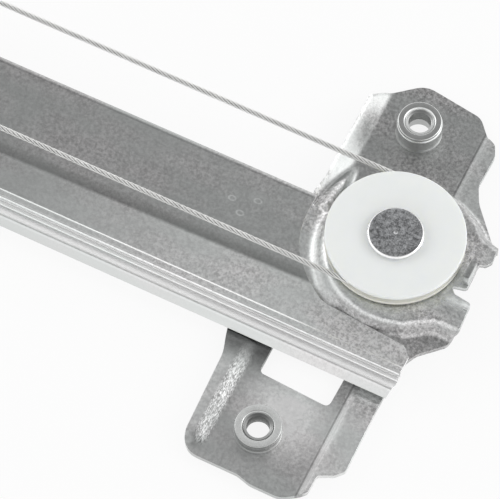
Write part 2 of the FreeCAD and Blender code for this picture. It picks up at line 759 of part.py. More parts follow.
drum_bracket = doc.addObject("PartDesign::Body", "drum_bracket_body")
plate_gauge = size("drum_plate_gauge")
plate_level = size("drum_plate_level")
plate_floor = plate_level - plate_gauge
step_start = size("rail_top_edge") + 0.7
plate_end = drum_axis.y + size("motor_circle_diameter") / 2 + size("drum_plate_margin")
plate_start = size("drum_plate_inner_edge")
plate_side = [(plate_end, plate_floor, 0), (step_start + web_top - plate_floor, plate_floor, 1.5),
              (step_start, web_top, 1.5), (plate_start, web_top, 0)]
plate_profile = strip_points(plate_side[::-1], plate_gauge)
half_width = size("drum_plate_half_width")
plate_sketch = add_sketch(drum_bracket, "drum_plate_profile", "YZ_Plane", rounded_edges(plate_profile))
plate_sketch.AttachmentOffset.Base.z = drum_axis.x
add_pad(drum_bracket, plate_sketch, "2 * Sizes.drum_plate_half_width", True)
neck = half_width - size("drum_plate_neck")
shoulder = step_start + 4.2
wide_start = shoulder + size("drum_plate_shoulder")
corner_y = drum_axis.y + 10
end_half = size("drum_plate_end_half_width")
outline = [(-neck, plate_start, 4), (neck, plate_start, 4), (neck, shoulder, 4), (half_width, wide_start, 6),
           (half_width, corner_y, 14), (end_half, plate_end, 12), (-end_half, plate_end, 12),
           (-half_width, corner_y, 14), (-half_width, wide_start, 6), (-neck, shoulder, 4)]
outline = [(drum_axis.x + x, y, radius) for x, y, radius in outline]
margin = 30
frame = [(drum_axis.x - half_width - margin, plate_start - margin, 0),
         (drum_axis.x + half_width + margin, plate_start - margin, 0),
         (drum_axis.x + half_width + margin, plate_end + margin, 0),
         (drum_axis.x - half_width - margin, plate_end + margin, 0)]
trim = add_sketch(drum_bracket, "drum_plate_outline", "XY_Plane",
                  rounded_edges(frame) + rounded_edges(outline))
add_pocket(drum_bracket, trim)
# two darts stiffen the step between the rail and the drum
dart_top = plate_level + size("dart_height")
step_end = step_start + web_top - plate_floor
dart_profile = [(step_start + 0.2, dart_top, 0), (step_end + size("dart_height"), plate_level, 0),
                (step_end - 1, plate_level - 1, 0), (step_start + 0.2, plate_level + 1, 0)]
for step in (-1, 1):
    dart = add_sketch(drum_bracket, "drum_plate_dart_%d" % step, "YZ_Plane", rounded_edges(dart_profile))
    dart.AttachmentOffset.Base.z = drum_axis.x + step * size("plate_rivet_pitch") / 2
    add_pad(drum_bracket, dart, "Sizes.dart_width", True)


def round_places(radius, angles):
    return [drum_axis + vec(radius * math.cos(math.radians(angle)), radius * math.sin(math.radians(angle)), 0)
            for angle in angles]


inner_radius = drum_flange_radius + size("housing_clearance")
outer_radius = inner_radius + size("housing_wall")
screw_circle = outer_radius + size("housing_screw_offset")
screw_places = round_places(screw_circle, (-10, 35, 145, 190))
motor_places = round_places(size("motor_circle_diameter") / 2, (90, 210, 330))
add_pocket(drum_bracket, add_hole_sketch(drum_bracket, "drive_opening", "XY_Plane", [drum_axis],
                                         "Sizes.drum_hub_radius + 1.5"))
add_pocket(drum_bracket, add_hole_sketch(drum_bracket, "motor_holes", "XY_Plane", motor_places,
                                         "Sizes.motor_hole_radius + Sizes.pilot_wall"))
add_pocket(drum_bracket, add_hole_sketch(drum_bracket, "plate_rivet_holes", "XY_Plane",
                                         plate_rivet_places + screw_places, "Sizes.housing_screw_radius"))
keep("drum_bracket", drum_bracket)

rivets = []
for index, place in enumerate(plate_rivet_places):
    name = "plate_rivet_%d" % index
    shank = cylinder(name + "_shank", "Sizes.housing_screw_radius",
                     "Sizes.rail_gauge + Sizes.drum_plate_gauge", place, "Sizes.seat_level")
    head = cylinder(name + "_head", "2 * Sizes.housing_screw_radius", "Sizes.rivet_head_height", place,
                    "Sizes.seat_level + Sizes.rail_gauge + Sizes.drum_plate_gauge")
    clench = cylinder(name + "_clench", "1.7 * Sizes.housing_screw_radius", "Sizes.rivet_head_height", place,
                      "Sizes.seat_level - Sizes.rivet_head_height")
    rivets.append(fuse(name, [shank, head, clench]))
group = doc.addObject("Part::Compound", "drum_bracket_rivets")
group.Links = rivets
keep("drum_bracket_rivets", group)

motor_nuts = []
for index, place in enumerate(motor_places):
    name = "motor_nut_%d" % index
    barrel = cylinder(name + "_barrel", "Sizes.motor_nut_radius", "Sizes.motor_nut_height", place,
                      "Sizes.drum_plate_level")
    pilot = cylinder(name + "_pilot", "Sizes.motor_hole_radius + Sizes.pilot_wall - Sizes.fit_clearance",
                     "Sizes.drum_plate_gauge", place, "Sizes.drum_plate_level - Sizes.drum_plate_gauge")
    bore = cylinder(name + "_bore", "Sizes.motor_hole_radius", "20", place, "0")
    motor_nuts.append(cut(name, fuse(name + "_blank", [barrel, pilot]), bore))
group = doc.addObject("Part::Compound", "motor_nuts")
group.Links = motor_nuts
keep("motor_nuts", group)


# Drum housing and cover

housing_top = drum_top + 0.4
cup_profile = [
    (size("drum_hub_radius") + 0.08, housing_seat, 0), (outer_radius, housing_seat, 0.4),
    (outer_radius, housing_top, 0), (inner_radius, housing_top, 0),
    (inner_radius, housing_seat + size("housing_floor"), 0.8),
    (size("drum_hub_radius") + 0.08, housing_seat + size("housing_floor"), 0.3),
]
cup_face = Part.Face(Part.Wire([edge.toShape() for edge in rounded_edges(cup_profile)]))
cup_face.rotate(vec(), vec(1, 0, 0), 90)
cup = cup_face.revolve(vec(), vec(0, 0, 1), 360)
cup.translate(drum_axis)
housing_shape = cup
guide_reach = outer_radius + size("cable_guide_length")
guide_inner_side = size("drum_line_radius") - size("cable_guide_radius")
guide_start = math.sqrt(inner_radius ** 2 - guide_inner_side ** 2) + 0.4
guide_levels = {1: lift_floor + cable_radius + 0.05,
                -1: lowering_floor + winding_height - cable_radius - 0.05}
for place in screw_places:
    ear = Part.makeCylinder(size("housing_ear_radius"), size("housing_ear_height"),
                            place + vec(0, 0, housing_seat))
    inward = (drum_axis - place).normalize()
    side = vec(-inward.y, inward.x, 0)
    reach = screw_circle - inner_radius - 0.6
    corners = [place + side * size("housing_ear_radius"), place - side * size("housing_ear_radius")]
    corners += [corners[1] + inward * reach, corners[0] + inward * reach]
    web = Part.Face(Part.makePolygon(corners + corners[:1])).extrude(vec(0, 0, size("housing_ear_height")))
    web.translate(vec(0, 0, housing_seat))
    housing_shape = housing_shape.fuse(ear).fuse(web)
    # an upright rib on each side of the screw head ties the ear to the wall
    rib_width = size("housing_rib_width")
    rib_foot = housing_seat + size("housing_ear_height")
    rib_reach = size("housing_screw_offset") + outer_radius - inner_radius - 0.6
    for edge in (1, -1):
        rib_start = place + side * edge * (size("housing_ear_radius") - rib_width)
        outer_foot = rib_start + vec(0, 0, rib_foot - 0.5)
        inner_foot = outer_foot + inward * rib_reach
        inner_head = inner_foot + vec(0, 0, size("housing_ear_height"))
        rib = Part.Face(Part.makePolygon([outer_foot, inner_foot, inner_head, outer_foot]))
        housing_shape = housing_shape.fuse(rib.extrude(side * edge * rib_width))
for turn, level in guide_levels.items():
    start = vec(drum_axis.x + turn * guide_start, outer_run_y, level)
    boss = Part.makeCylinder(size("cable_guide_radius"), guide_reach - guide_start, start, vec(turn, 0, 0))
    housing_shape = housing_shape.fuse(boss)
hollow = Part.makeCylinder(inner_radius, housing_top - housing_seat - size("housing_floor"),
                           drum_axis + vec(0, 0, housing_seat + size("housing_floor")))
hollow = hollow.cut(Part.makeCylinder(size("drum_hub_radius") - 2, 60, drum_axis))
housing_shape = housing_shape.cut(hollow)
for turn, level in guide_levels.items():
    pulley_place = upper_pulley if turn > 0 else lower_pulley
    cable_end = vec(pulley_place.x, outer_run_y, cable_level)
    start = vec(drum_axis.x, outer_run_y, level)
    channel = Part.makeCylinder(cable_radius + size("cable_gap"), guide_reach + 20, start, cable_end - start)
    housing_shape = housing_shape.cut(channel)
for place in screw_places:
    housing_shape = housing_shape.cut(Part.makeCylinder(size("housing_screw_radius"), 60, place))
keep("drum_housing", feature("drum_housing", housing_shape.removeSplitter()))

top_words = "%.4f" % housing_top
cover_disc = cylinder("drum_cover_disc", "Sizes.drum_line_radius + Sizes.drum_flange_margin"
                      " + Sizes.housing_clearance + Sizes.housing_wall",
                      "Sizes.cover_thickness", drum_axis, top_words)
spigot = cylinder("drum_cover_spigot", "Sizes.drum_spigot_radius", "%.4f" % spigot_length, drum_axis,
                  "%.4f" % (housing_top - spigot_length))
cover_rim = doc.addObject("Part::Chamfer", "drum_cover_rim")
cover_rim.Base = cover_disc
doc.recompute()
cover_rim.Edges = [(index + 1, 0.8, 0.8) for index, edge in enumerate(cover_disc.Shape.Edges)
                   if edge.isClosed() and edge.CenterOfMass.z > housing_top + 1]
# the cover is recessed between its hub, its rim and its radial ribs
recess_level = top_words + " + Sizes.cover_thickness - Sizes.cover_rib_depth"
recess_ring = cut("drum_cover_recess", cylinder("drum_cover_recess_disc", "Sizes.drum_line_radius",
                                                "Sizes.cover_thickness", drum_axis, recess_level),
                  cylinder("drum_cover_hub", "Sizes.cover_hub_radius", "Sizes.cover_thickness", drum_axis,
                           recess_level))
cover_ribs = []
for number in range(4):
    rib = doc.addObject("Part::Box", "drum_cover_rib_%d" % number)
    turn = FreeCAD.Rotation(vec(0, 0, 1), 45 * number)
    offset = turn.multVec(vec(-size("drum_line_radius"), -size("cover_rib_width") / 2, 0))
    level = housing_top + size("cover_thickness") - size("cover_rib_depth")
    rib.Placement = FreeCAD.Placement(vec(drum_axis.x, drum_axis.y, level) + offset, turn)
    bind(rib, Length="2 * Sizes.drum_line_radius", Width="Sizes.cover_rib_width",
         Height="Sizes.cover_thickness")
    cover_ribs.append(rib)
recesses = cut("drum_cover_recesses", recess_ring, fuse("drum_cover_ribs", cover_ribs))
keep("drum_cover", cut("drum_cover_ribbed", fuse("drum_cover_whole", [cover_rim, spigot]), recesses))

screws = []
for index, place in enumerate(screw_places):
    name = "housing_screw_%d" % index
    head = cylinder(name + "_head", "1.9 * Sizes.housing_screw_radius", "Sizes.screw_head_height", place,
                    "Sizes.drum_plate_level + Sizes.housing_ear_height")
    shank = cylinder(name + "_shank", "Sizes.housing_screw_radius",
                     "Sizes.housing_ear_height + Sizes.drum_plate_gauge", place,
                     "Sizes.drum_plate_level - Sizes.drum_plate_gauge")
    screws.append(fuse(name, [head, shank]))
group = doc.addObject("Part::Compound", "housing_screws")
group.Links = screws
keep("housing_screws", group)


# Carrier: a moulding that hooks round the rail's flange, and a steel plate on it

def carrier_section():
    """The moulding's (y, z) outline; its inner side follows the rail with a sliding gap."""
    gap = size("slide_gap")
    crease = size("rail_crease")
    flange_edge = size("rail_flange_edge")
    flange = size("rail_flange_level")
    outside = flange_edge - gap - size("carrier_hook_wall")
    inner = size("carrier_inner_edge")
    top = size("carrier_top")
    foot = size("carrier_foot_level")
    hook = flange - size("rail_gauge") - 0.9
    return [
        (inner, web_top + gap, 0.5), (inner, top, 1.0), (outside + 3, top, 2.0),
        (outside, top - 4, 2.0), (outside, foot, 0.6), (crease - 5.6, foot, 0.4),
        (crease - 5.6, hook, 0.2), (flange_edge - gap, hook, 0), (flange_edge - gap, flange + gap, 0),
        (crease - 4.4 - 1.3 * gap, flange + gap, 0), (crease - 2.9 - 1.3 * gap, web_top + gap, 0),
    ]


carrier_half = size("carrier_length") / 2
carrier = doc.addObject("PartDesign::Body", "carrier_body_solid")
section = add_sketch(carrier, "carrier_section", "YZ_Plane", rounded_edges(carrier_section()))
section.AttachmentOffset.Base.z = carrier_x
add_pad(carrier, section, "Sizes.carrier_length", True)
pocket_half = size("carrier_pocket_half_length")
pocket_width = size("carrier_pocket_width")
pocket_floor = cable_level - pocket_width / 2
pocket = doc.addObject("Part::Box", "carrier_spring_pocket")
pocket.Placement.Base = vec(carrier_x - pocket_half, inner_run_y - pocket_width / 2, pocket_floor)
bind(pocket, Length="2 * Sizes.carrier_pocket_half_length", Width="Sizes.carrier_pocket_width", Height="20")
channel = doc.addObject("Part::Cylinder", "carrier_cable_channel")
channel.Placement = FreeCAD.Placement(vec(carrier_x - carrier_half - 5, inner_run_y, cable_level),
                                      FreeCAD.Rotation(vec(0, 1, 0), 90))
bind(channel, Radius="Sizes.cable_diameter / 2 + Sizes.cable_gap", Height="Sizes.carrier_length + 10")
window = doc.addObject("Part::Box", "carrier_hook_window")
hook_outside = size("rail_flange_edge") - size("slide_gap") - size("carrier_hook_wall")
window_start = hook_outside - 1
window_end = size("rail_crease") - 5.9
window.Placement.Base = vec(carrier_x - size("hook_window_length") / 2, window_start, -1)
bind(window, Length="Sizes.hook_window_length", Height="2 * Sizes.rail_flange_level")
window.Width = window_end - window_start
carrier_cuts = [pocket, channel, window]
# recesses between upright ribs lighten the outer side
recess_pitch = (size("carrier_length") - size("side_rib_width")) / size("side_recess_count")
for number in range(int(size("side_recess_count"))):
    recess = doc.addObject("Part::Box", "carrier_side_recess_%d" % number)
    recess_start = carrier_x - carrier_half + size("side_rib_width") + number * recess_pitch
    recess.Placement.Base = vec(recess_start, hook_outside - 1, 2 * size("rail_flange_level"))
    recess.Length = recess_pitch - size("side_rib_width")
    bind(recess, Width="Sizes.side_recess_depth + 1", Height="Sizes.rail_flange_level")
    carrier_cuts.append(recess)
rivet_pitch = (size("carrier_length") - 2 * size("carrier_rivet_margin")) / 3
rivet_places = [vec(carrier_x + rivet_pitch * step, size("carrier_rivet_row"), 0)
                for step in (-1.5, -0.5, 0.5, 1.5)]
for index, place in enumerate(rivet_places):
    carrier_cuts.append(cylinder("carrier_rivet_bore_%d" % index, "Sizes.housing_screw_radius",
                                 "20", place, "Sizes.carrier_top - Sizes.carrier_rivet_depth - 0.5"))
keep("carrier_body", cut("carrier_body_cut", carrier, fuse("carrier_hollows", carrier_cuts)))

reach = size("carrier_plate_reach")
hole_y = size("glass_hole_offset")
plate_half = carrier_half + size("plate_overhang")
plate_low = size("carrier_rivet_row") - size("plate_lower_margin")
arm_out = size("glass_hole_spacing") / 2 + size("glass_arm_half_width")
arm_in = size("glass_hole_spacing") / 2 - size("glass_arm_half_width")
notch_floor = hole_y - 6
plate_points = [(-plate_half, plate_low, 4), (plate_half, plate_low, 4), (plate_half, hole_y - 20, 6),
                (arm_out, hole_y - 10, 6), (arm_out, reach, 7), (arm_in, reach, 7),
                (arm_in - 8, notch_floor, 6), (8 - arm_in, notch_floor, 6), (-arm_in, reach, 7),
                (-arm_out, reach, 7), (-arm_out, hole_y - 10, 6), (-plate_half, hole_y - 20, 6)]
plate_points = [(carrier_x + x, y, radius) for x, y, radius in plate_points]
lift_plate = doc.addObject("PartDesign::Body", "carrier_plate_body")
lift_outline = add_sketch(lift_plate, "carrier_plate_outline", "XY_Plane", rounded_edges(plate_points),
                          "Sizes.carrier_top")
add_pad(lift_plate, lift_outline, "Sizes.carrier_plate_gauge")
glass_places = [vec(carrier_x + side * size("glass_hole_spacing") / 2, hole_y, 0) for side in (-1, 1)]
add_pocket(lift_plate, add_hole_sketch(lift_plate, "glass_holes", "XY_Plane", glass_places,
                                       "Sizes.glass_hole_radius"))
add_pocket(lift_plate, add_hole_sketch(lift_plate, "plate_fixing_holes", "XY_Plane", rivet_places,
                                       "Sizes.housing_screw_radius"))
# a pressed bead runs along the plate beside its rivets
bead_half = size("plate_bead_half_width")
bead_y = size("carrier_rivet_row") + 2 * size("housing_screw_radius") + bead_half + 1.3


def bead_edges(inset):
    half_length = size("plate_bead_length") / 2 - inset
    half = bead_half - inset
    corners = [(-half_length, -half), (half_length, -half), (half_length, half), (-half_length, half)]
    return rounded_edges([(carrier_x + x, bead_y + y, 0.95 * half) for x, y in corners])


bead = add_sketch(lift_plate, "plate_bead", "XY_Plane", bead_edges(0), "Sizes.carrier_top")
add_pad(lift_plate, bead, "Sizes.carrier_plate_gauge + Sizes.plate_bead_height")
groove = add_sketch(lift_plate, "plate_bead_groove", "XY_Plane", bead_edges(size("plate_bead_height")),
                    "Sizes.carrier_top")
bead_groove = lift_plate.newObject("PartDesign::Pocket", "plate_bead_hollow")
bead_groove.Profile = groove
bead_groove.setExpression("Length", "Sizes.plate_bead_height")
bead_groove.Reversed = True
doc.recompute()
keep("carrier_plate", lift_plate)

rivets = []
for index, place in enumerate(rivet_places):
    name = "carrier_rivet_%d" % index
    shank = cylinder(name + "_shank", "Sizes.housing_screw_radius",
                     "Sizes.carrier_rivet_depth + Sizes.carrier_plate_gauge", place,
                     "Sizes.carrier_top - Sizes.carrier_rivet_depth")
    head = cylinder(name + "_head", "2 * Sizes.housing_screw_radius", "Sizes.rivet_head_height", place,
                    "Sizes.carrier_top + Sizes.carrier_plate_gauge")
    rivets.append(fuse(name, [shank, head]))
group = doc.addObject("Part::Compound", "carrier_rivets")
group.Links = rivets
keep("carrier_rivets", group)

pads = []
for index, place in enumerate(glass_places):
    name = "glass_pad_%d" % index
    disc = cylinder(name + "_disc", "Sizes.glass_pad_radius", "Sizes.glass_pad_height", place,
                    "Sizes.carrier_top + Sizes.carrier_plate_gauge")
    hole = cylinder(name + "_hole", "Sizes.glass_hole_radius", "30", place, "Sizes.carrier_top")
    pads.append(cut(name, disc, hole))
group = doc.addObject("Part::Compound", "glass_pads")
group.Links = pads
keep("glass_pads", group)


# Cable ends in the carrier: a nipple on each cable, and the spring that takes up slack

nipple_start = 2.0     # from the carrier's middle to each nipple


def along_x(name, radius, length, start):
    thing = doc.addObject("Part::Cylinder", name)
    thing.Placement = FreeCAD.Placement(start, FreeCAD.Rotation(vec(0, 1, 0), 90))
    bind(thing, Radius=radius)
    thing.Height = length
    return thing


def coil_spring(start, length):
    """A round wire wound round the X direction, with both ends resting on the coil's end planes."""
    wire_radius = size("spring_wire") / 2
    line_radius = size("spring_radius") - wire_radius
    rise = length - 2 * wire_radius
    helix = Part.makeHelix(rise / size("spring_turns"), rise, line_radius)
    section = Part.Wire([Part.Circle(vec(line_radius, 0, 0), vec(0, 1, 0), wire_radius).toShape()])
    coil = Part.Wire(helix.Edges).makePipeShell([section], True, True)
    coil.rotate(vec(), vec(0, 1, 0), 90)
    coil.translate(start + vec(wire_radius, 0, 0))
    return coil


for turn, word in ((1, "lift"), (-1, "lowering")):
    length = size("nipple_length")
    start_x = carrier_x + nipple_start if turn > 0 else carrier_x - nipple_start - length
    start = vec(start_x, inner_run_y, cable_level)
    barrel = along_x(word + "_nipple_barrel", "Sizes.nipple_radius", length, start)
    bore = along_x(word + "_nipple_bore", "Sizes.cable_diameter / 2 + Sizes.cable_gap", length + 2,
                   start - vec(1, 0, 0))
    keep(word + "_cable_nipple", cut(word + "_nipple", barrel, bore))
    spring_length = pocket_half - nipple_start - length
    start_x = carrier_x + nipple_start + length if turn > 0 else carrier_x - pocket_half
    start = vec(start_x, inner_run_y, cable_level)
    keep(word + "_tension_spring", feature(word + "_tension_spring", coil_spring(start, spring_length)))


# Rubber stop on the web, at the carrier's lower limit

stop_body = doc.addObject("PartDesign::Body", "lower_stop_body")
stop_low = size("stop_row") - size("stop_width") / 2
stop_high = size("stop_row") + size("stop_width") / 2
stop_end = stop_start + size("stop_length")
stop_points = [(stop_start, stop_low, 1.5), (stop_end, stop_low, 1.5), (stop_end, stop_high, 1.5),
               (stop_start, stop_high, 1.5)]
stop_sketch = add_sketch(stop_body, "lower_stop_outline", "XY_Plane", rounded_edges(stop_points),
                         "Sizes.seat_level + Sizes.rail_gauge - Sizes.rail_joggle_depth")
stop_pad = add_pad(stop_body, stop_sketch, "Sizes.stop_height")
doc.recompute()
stop_top = stop_pad.Shape.BoundBox.ZMax
rounding = stop_body.newObject("PartDesign::Fillet", "lower_stop_rounding")
rounding.Base = (stop_pad, ["Edge%d" % (index + 1) for index, edge in enumerate(stop_pad.Shape.Edges)
                            if edge.BoundBox.ZMin > stop_top - 0.01])
rounding.setExpression("Radius", "Sizes.stop_rounding")
doc.recompute()
stem_level = "Sizes.seat_level - Sizes.rail_joggle_depth - Sizes.bracket_gauge"
stop_stem = cylinder("lower_stop_stem", "Sizes.stop_stem_radius", "Sizes.rail_gauge + Sizes.bracket_gauge",
                     stop_place, stem_level)
stop_barb = cylinder("lower_stop_barb", "1.3 * Sizes.stop_stem_radius", "Sizes.stop_barb_height", stop_place,
                     stem_level + " - Sizes.stop_barb_height")
keep("lower_stop", fuse("lower_stop_whole", [stop_body, stop_stem, stop_barb]))


# Checks and files

doc.recompute()
for thing in doc.Objects:
    for word in ("Invalid", "Error"):
        if word in thing.State:
            raise RuntimeError("%s did not build: %s" % (thing.Name, thing.State))
for label, thing in parts.items():
    shape = thing.Shape
    if shape.isNull() or not shape.isValid() or not shape.Solids:
        raise RuntimeError("%s has no valid solid" % label)

os.makedirs("parts", exist_ok=True)
for label, thing in parts.items():
    thing.Shape.exportStep("parts/%s.step" % label)
    box = thing.Shape.BoundBox
    print("%-22s solids %d  volume %9.1f  x %7.1f %7.1f  y %6.1f %6.1f  z %5.2f %5.2f" % (
        label, len(thing.Shape.Solids), thing.Shape.Volume, box.XMin, box.XMax, box.YMin, box.YMax,
        box.ZMin, box.ZMax))
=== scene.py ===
import math

import bmesh
import bpy
import numpy as np
from mathutils import Matrix, Vector
from mathutils.kdtree import KDTree


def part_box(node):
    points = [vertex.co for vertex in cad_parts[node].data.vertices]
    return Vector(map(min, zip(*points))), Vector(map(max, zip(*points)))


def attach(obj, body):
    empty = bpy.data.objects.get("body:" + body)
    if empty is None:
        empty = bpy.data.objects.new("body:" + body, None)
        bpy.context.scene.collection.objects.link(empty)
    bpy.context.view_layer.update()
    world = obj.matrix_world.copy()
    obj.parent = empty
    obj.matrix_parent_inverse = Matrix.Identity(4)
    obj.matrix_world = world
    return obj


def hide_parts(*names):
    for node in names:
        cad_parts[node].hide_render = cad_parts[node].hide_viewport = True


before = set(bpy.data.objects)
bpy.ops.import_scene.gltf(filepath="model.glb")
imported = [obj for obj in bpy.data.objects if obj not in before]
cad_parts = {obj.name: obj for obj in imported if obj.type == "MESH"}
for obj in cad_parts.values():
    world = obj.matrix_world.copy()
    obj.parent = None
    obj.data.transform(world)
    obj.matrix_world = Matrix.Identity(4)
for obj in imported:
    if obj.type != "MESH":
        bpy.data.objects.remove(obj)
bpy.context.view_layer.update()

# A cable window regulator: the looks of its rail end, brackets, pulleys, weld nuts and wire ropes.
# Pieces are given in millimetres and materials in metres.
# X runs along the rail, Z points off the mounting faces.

mm = 0.001

print("camera")

camera = {
    "azimuth": 26.334,
    "elevation": 63.301,
    "distance": 924.99,
    "focal": 3219.26,          # pixels
    "imageWidth": 500.0,
    "imageHeight": 499.0,
    "aim": (11.0, 13.0, 17.2),  # the pulley face's centre
    "aimPixel": (395.73, 233.68),
    "sensor": 36.0,
}


def placeCamera(values):
    turn = math.radians(values["azimuth"])
    rise = math.radians(values["elevation"])
    back = Vector((math.sin(turn) * math.cos(rise), -math.cos(turn) * math.cos(rise), math.sin(rise)))
    right = Vector((math.cos(turn), math.sin(turn), 0))
    up = back.cross(right)
    perPixel = values["distance"] / values["focal"]
    across = (values["aimPixel"][0] - values["imageWidth"] / 2) * perPixel
    above = (values["imageHeight"] / 2 - values["aimPixel"][1]) * perPixel
    place = Vector(values["aim"]) - right * across - up * above + back * values["distance"]
    data = bpy.data.cameras.new("camera")
    data.lens = values["focal"] / values["imageWidth"] * values["sensor"]
    data.sensor_width = values["sensor"]
    data.clip_start = 0.01
    data.clip_end = 20
    thing = bpy.data.objects.new("camera", data)
    turned = Matrix((right, up, back)).transposed().to_4x4()
    thing.matrix_world = Matrix.Translation(place * mm) @ turned
    bpy.context.scene.collection.objects.link(thing)
    bpy.context.scene.camera = thing


placeCamera(camera)

print("materials")


class Shade:
    # one socket of a node tree; Python's operators add the Math nodes
    def __init__(self, graph, socket):
        self.graph = graph
        self.socket = socket

    def __add__(self, other):
        return self.graph.sum("ADD", self, other)

    def __radd__(self, other):
        return self.graph.sum("ADD", other, self)

    def __sub__(self, other):
        return self.graph.sum("SUBTRACT", self, other)

    def __rsub__(self, other):
        return self.graph.sum("SUBTRACT", other, self)

    def __mul__(self, other):
        return self.graph.sum("MULTIPLY", self, other)

    def __rmul__(self, other):
        return self.graph.sum("MULTIPLY", other, self)


class Graph:
    # a material's node tree
    def __init__(self, tree):
        self.tree = tree

    def add(self, kind, settings=None, sockets=None, output=0):
        made = self.tree.nodes.new(kind)
        for name, value in (settings or {}).items():
            setattr(made, name, value)
        for name, value in (sockets or {}).items():
            if isinstance(value, Shade):
                self.tree.links.new(value.socket, made.inputs[name])
            else:
                made.inputs[name].default_value = value
        return Shade(self, made.outputs[output])

    def sum(self, operation, first, second):
        return self.add("ShaderNodeMath", {"operation": operation}, {0: first, 1: second})

    def mixColour(self, factor, first, second):
        return self.add("ShaderNodeMix", {"data_type": "RGBA"}, {0: factor, 6: first, 7: second}, 2)

    def noise(self, place, scale, detail=2.0, roughness=0.5):
        return self.add("ShaderNodeTexNoise", None,
                        {"Vector": place, "Scale": scale, "Detail": detail, "Roughness": roughness})

    def remap(self, value, low, high, newLow=0.0, newHigh=1.0):
        return self.add("ShaderNodeMapRange", None, {0: value, 1: low, 2: high, 3: newLow, 4: newHigh})

    def place(self, stretch=None):
        spot = self.add("ShaderNodeTexCoord", None, None, 3)
        if stretch:
            spot = self.add("ShaderNodeVectorMath", {"operation": "MULTIPLY"}, {0: spot, 1: stretch})
        return spot

    def part(self, vector, axis):
        return self.add("ShaderNodeSeparateXYZ", None, {0: vector}, axis)

    def facing(self, vector, direction):
        # the cosine between a unit vector and a fixed direction
        settings = {"operation": "DOT_PRODUCT"}
        return self.add("ShaderNodeVectorMath", settings, {0: vector, 1: Vector(direction).normalized()}, 1)

    def normal(self):
        return self.add("ShaderNodeNewGeometry", None, None, 1)

    def band(self, value, low, high, soft):
        # 1 between low and high, fading to 0 over a soft width outside them
        return self.remap(value, low - soft, low) * self.remap(value, high + soft, high)

    def mirrored(self, value, middle):
        # the lower end's places folded onto the upper end's, with the side each lies on
        offset = value - middle
        side = self.sum("SIGN", offset, 0.0)
        return offset * side + middle, side

    def reach(self, along, across, centre, stretch=1.0):
        # the distance from a centre, with the way along the rail counted as a share
        first = (along - centre[0]) * stretch
        second = across - centre[1]
        return self.sum("SQRT", first * first + second * second, 0.0)

    def swing(self, value, amount):
        # 1 at the middle of a noise, and half the amount more or less at its ends
        return 1 + amount * (value - 0.5)

    def colour(self, red, green, blue):
        return self.add("ShaderNodeCombineColor", None, {0: red, 1: green, 2: blue})

    def multiplyColours(self, first, second):
        settings = {"data_type": "RGBA", "blend_type": "MULTIPLY"}
        return self.add("ShaderNodeMix", settings, {0: 1.0, 6: first, 7: second}, 2)

    def attribute(self, name):
        return self.add("ShaderNodeAttribute", {"attribute_name": name}, None, 2)

    def bump(self, height, strength, distance):
        sockets = {"Height": height, "Strength": strength, "Distance": distance}
        return self.add("ShaderNodeBump", None, sockets)


def grey(level):
    return (level, level, level, 1.0)


def newMaterial(name, fixed):
    material = bpy.data.materials.new(name)
    material.use_nodes = True
    shader = material.node_tree.nodes["Principled BSDF"]
    for socket, value in fixed.items():
        shader.inputs[socket].default_value = value
    return material, Graph(material.node_tree), shader


def connect(graph, shader, **links):
    for name, value in links.items():
        graph.tree.links.new(value.socket, shader.inputs[name.replace("_", " ")])


sheetSteel = {
    "tone": 0.50,
    "grainScale": 1000.0,           # cycles a metre
    "grainRange": (0.38, 0.62),
    "grainSwing": 0.62,
    "grainDepth": 0.00004,
    "mottleScale": 240.0,
    "mottleSwing": 0.10,
    "mottleHeight": 0.8,            # beside the grain's, in the bump
    "streakScale": (9.0, 160.0, 160.0),
    "streakSwing": 0.14,
    "patchScale": (30.0, 70.0, 70.0),
    "patchRange": (0.42, 0.62),
    "leastGrain": 0.35,             # the share of grain between the grainy patches
    "roughness": 0.40,
    "glossMottle": 0.12,
    "glossGrain": 0.10,
    "cool": (0.975, 1.0, 0.99, 1.0),
    "warm": (1.0, 0.99, 0.99, 1.0),
}


def makeSheetSteel(name, values, shading=None, grain=1.0):
    # bright zinc on steel; shading(graph, spot) gives the tone and the share of grain of each place
    material, graph, shader = newMaterial(name, {"Metallic": 1.0})
    spot = graph.place()
    speckle = graph.remap(graph.noise(spot, values["grainScale"], 4.0, 0.8), *values["grainRange"])
    mottle = graph.noise(spot, values["mottleScale"], 3.0, 0.6)
    streaks = graph.noise(graph.place(values["streakScale"]), 1.0, 3.0, 0.5)
    patches = graph.noise(graph.place(values["patchScale"]), 1.0, 2.0, 0.5)
    patches = graph.remap(patches, *values["patchRange"])
    shade, rough = shading(graph, spot) if shading else (1.0, 1.0)
    grainy = rough * (grain * (values["leastGrain"] + (1 - values["leastGrain"]) * patches))
    swing = values["grainSwing"] * grainy * (speckle - 0.5)
    swing = swing + values["mottleSwing"] * (mottle - 0.5) + values["streakSwing"] * (streaks - 0.5)
    tones = values["tone"] * (1 + swing) * shade
    tint = graph.mixColour(patches, values["cool"], values["warm"])
    colour = graph.multiplyColours(tint, graph.colour(tones, tones, tones))
    gloss = values["roughness"] + values["glossMottle"] * (mottle - 0.5)
    gloss = gloss + values["glossGrain"] * (speckle - 0.5) * grain
    height = speckle * grainy + mottle * values["mottleHeight"]
    connect(graph, shader, Base_Color=colour, Roughness=gloss,
            Normal=graph.bump(height, 0.5, values["grainDepth"]))
    return material


def layered(tones, layers):
    # each layer raises or lowers the tone by its share where its mask is 1
    for share, mask in layers:
        tones = tones * (1 + share * mask)
    return tones


railMiddle = sum(corner.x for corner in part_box("guide_rail")) / 2

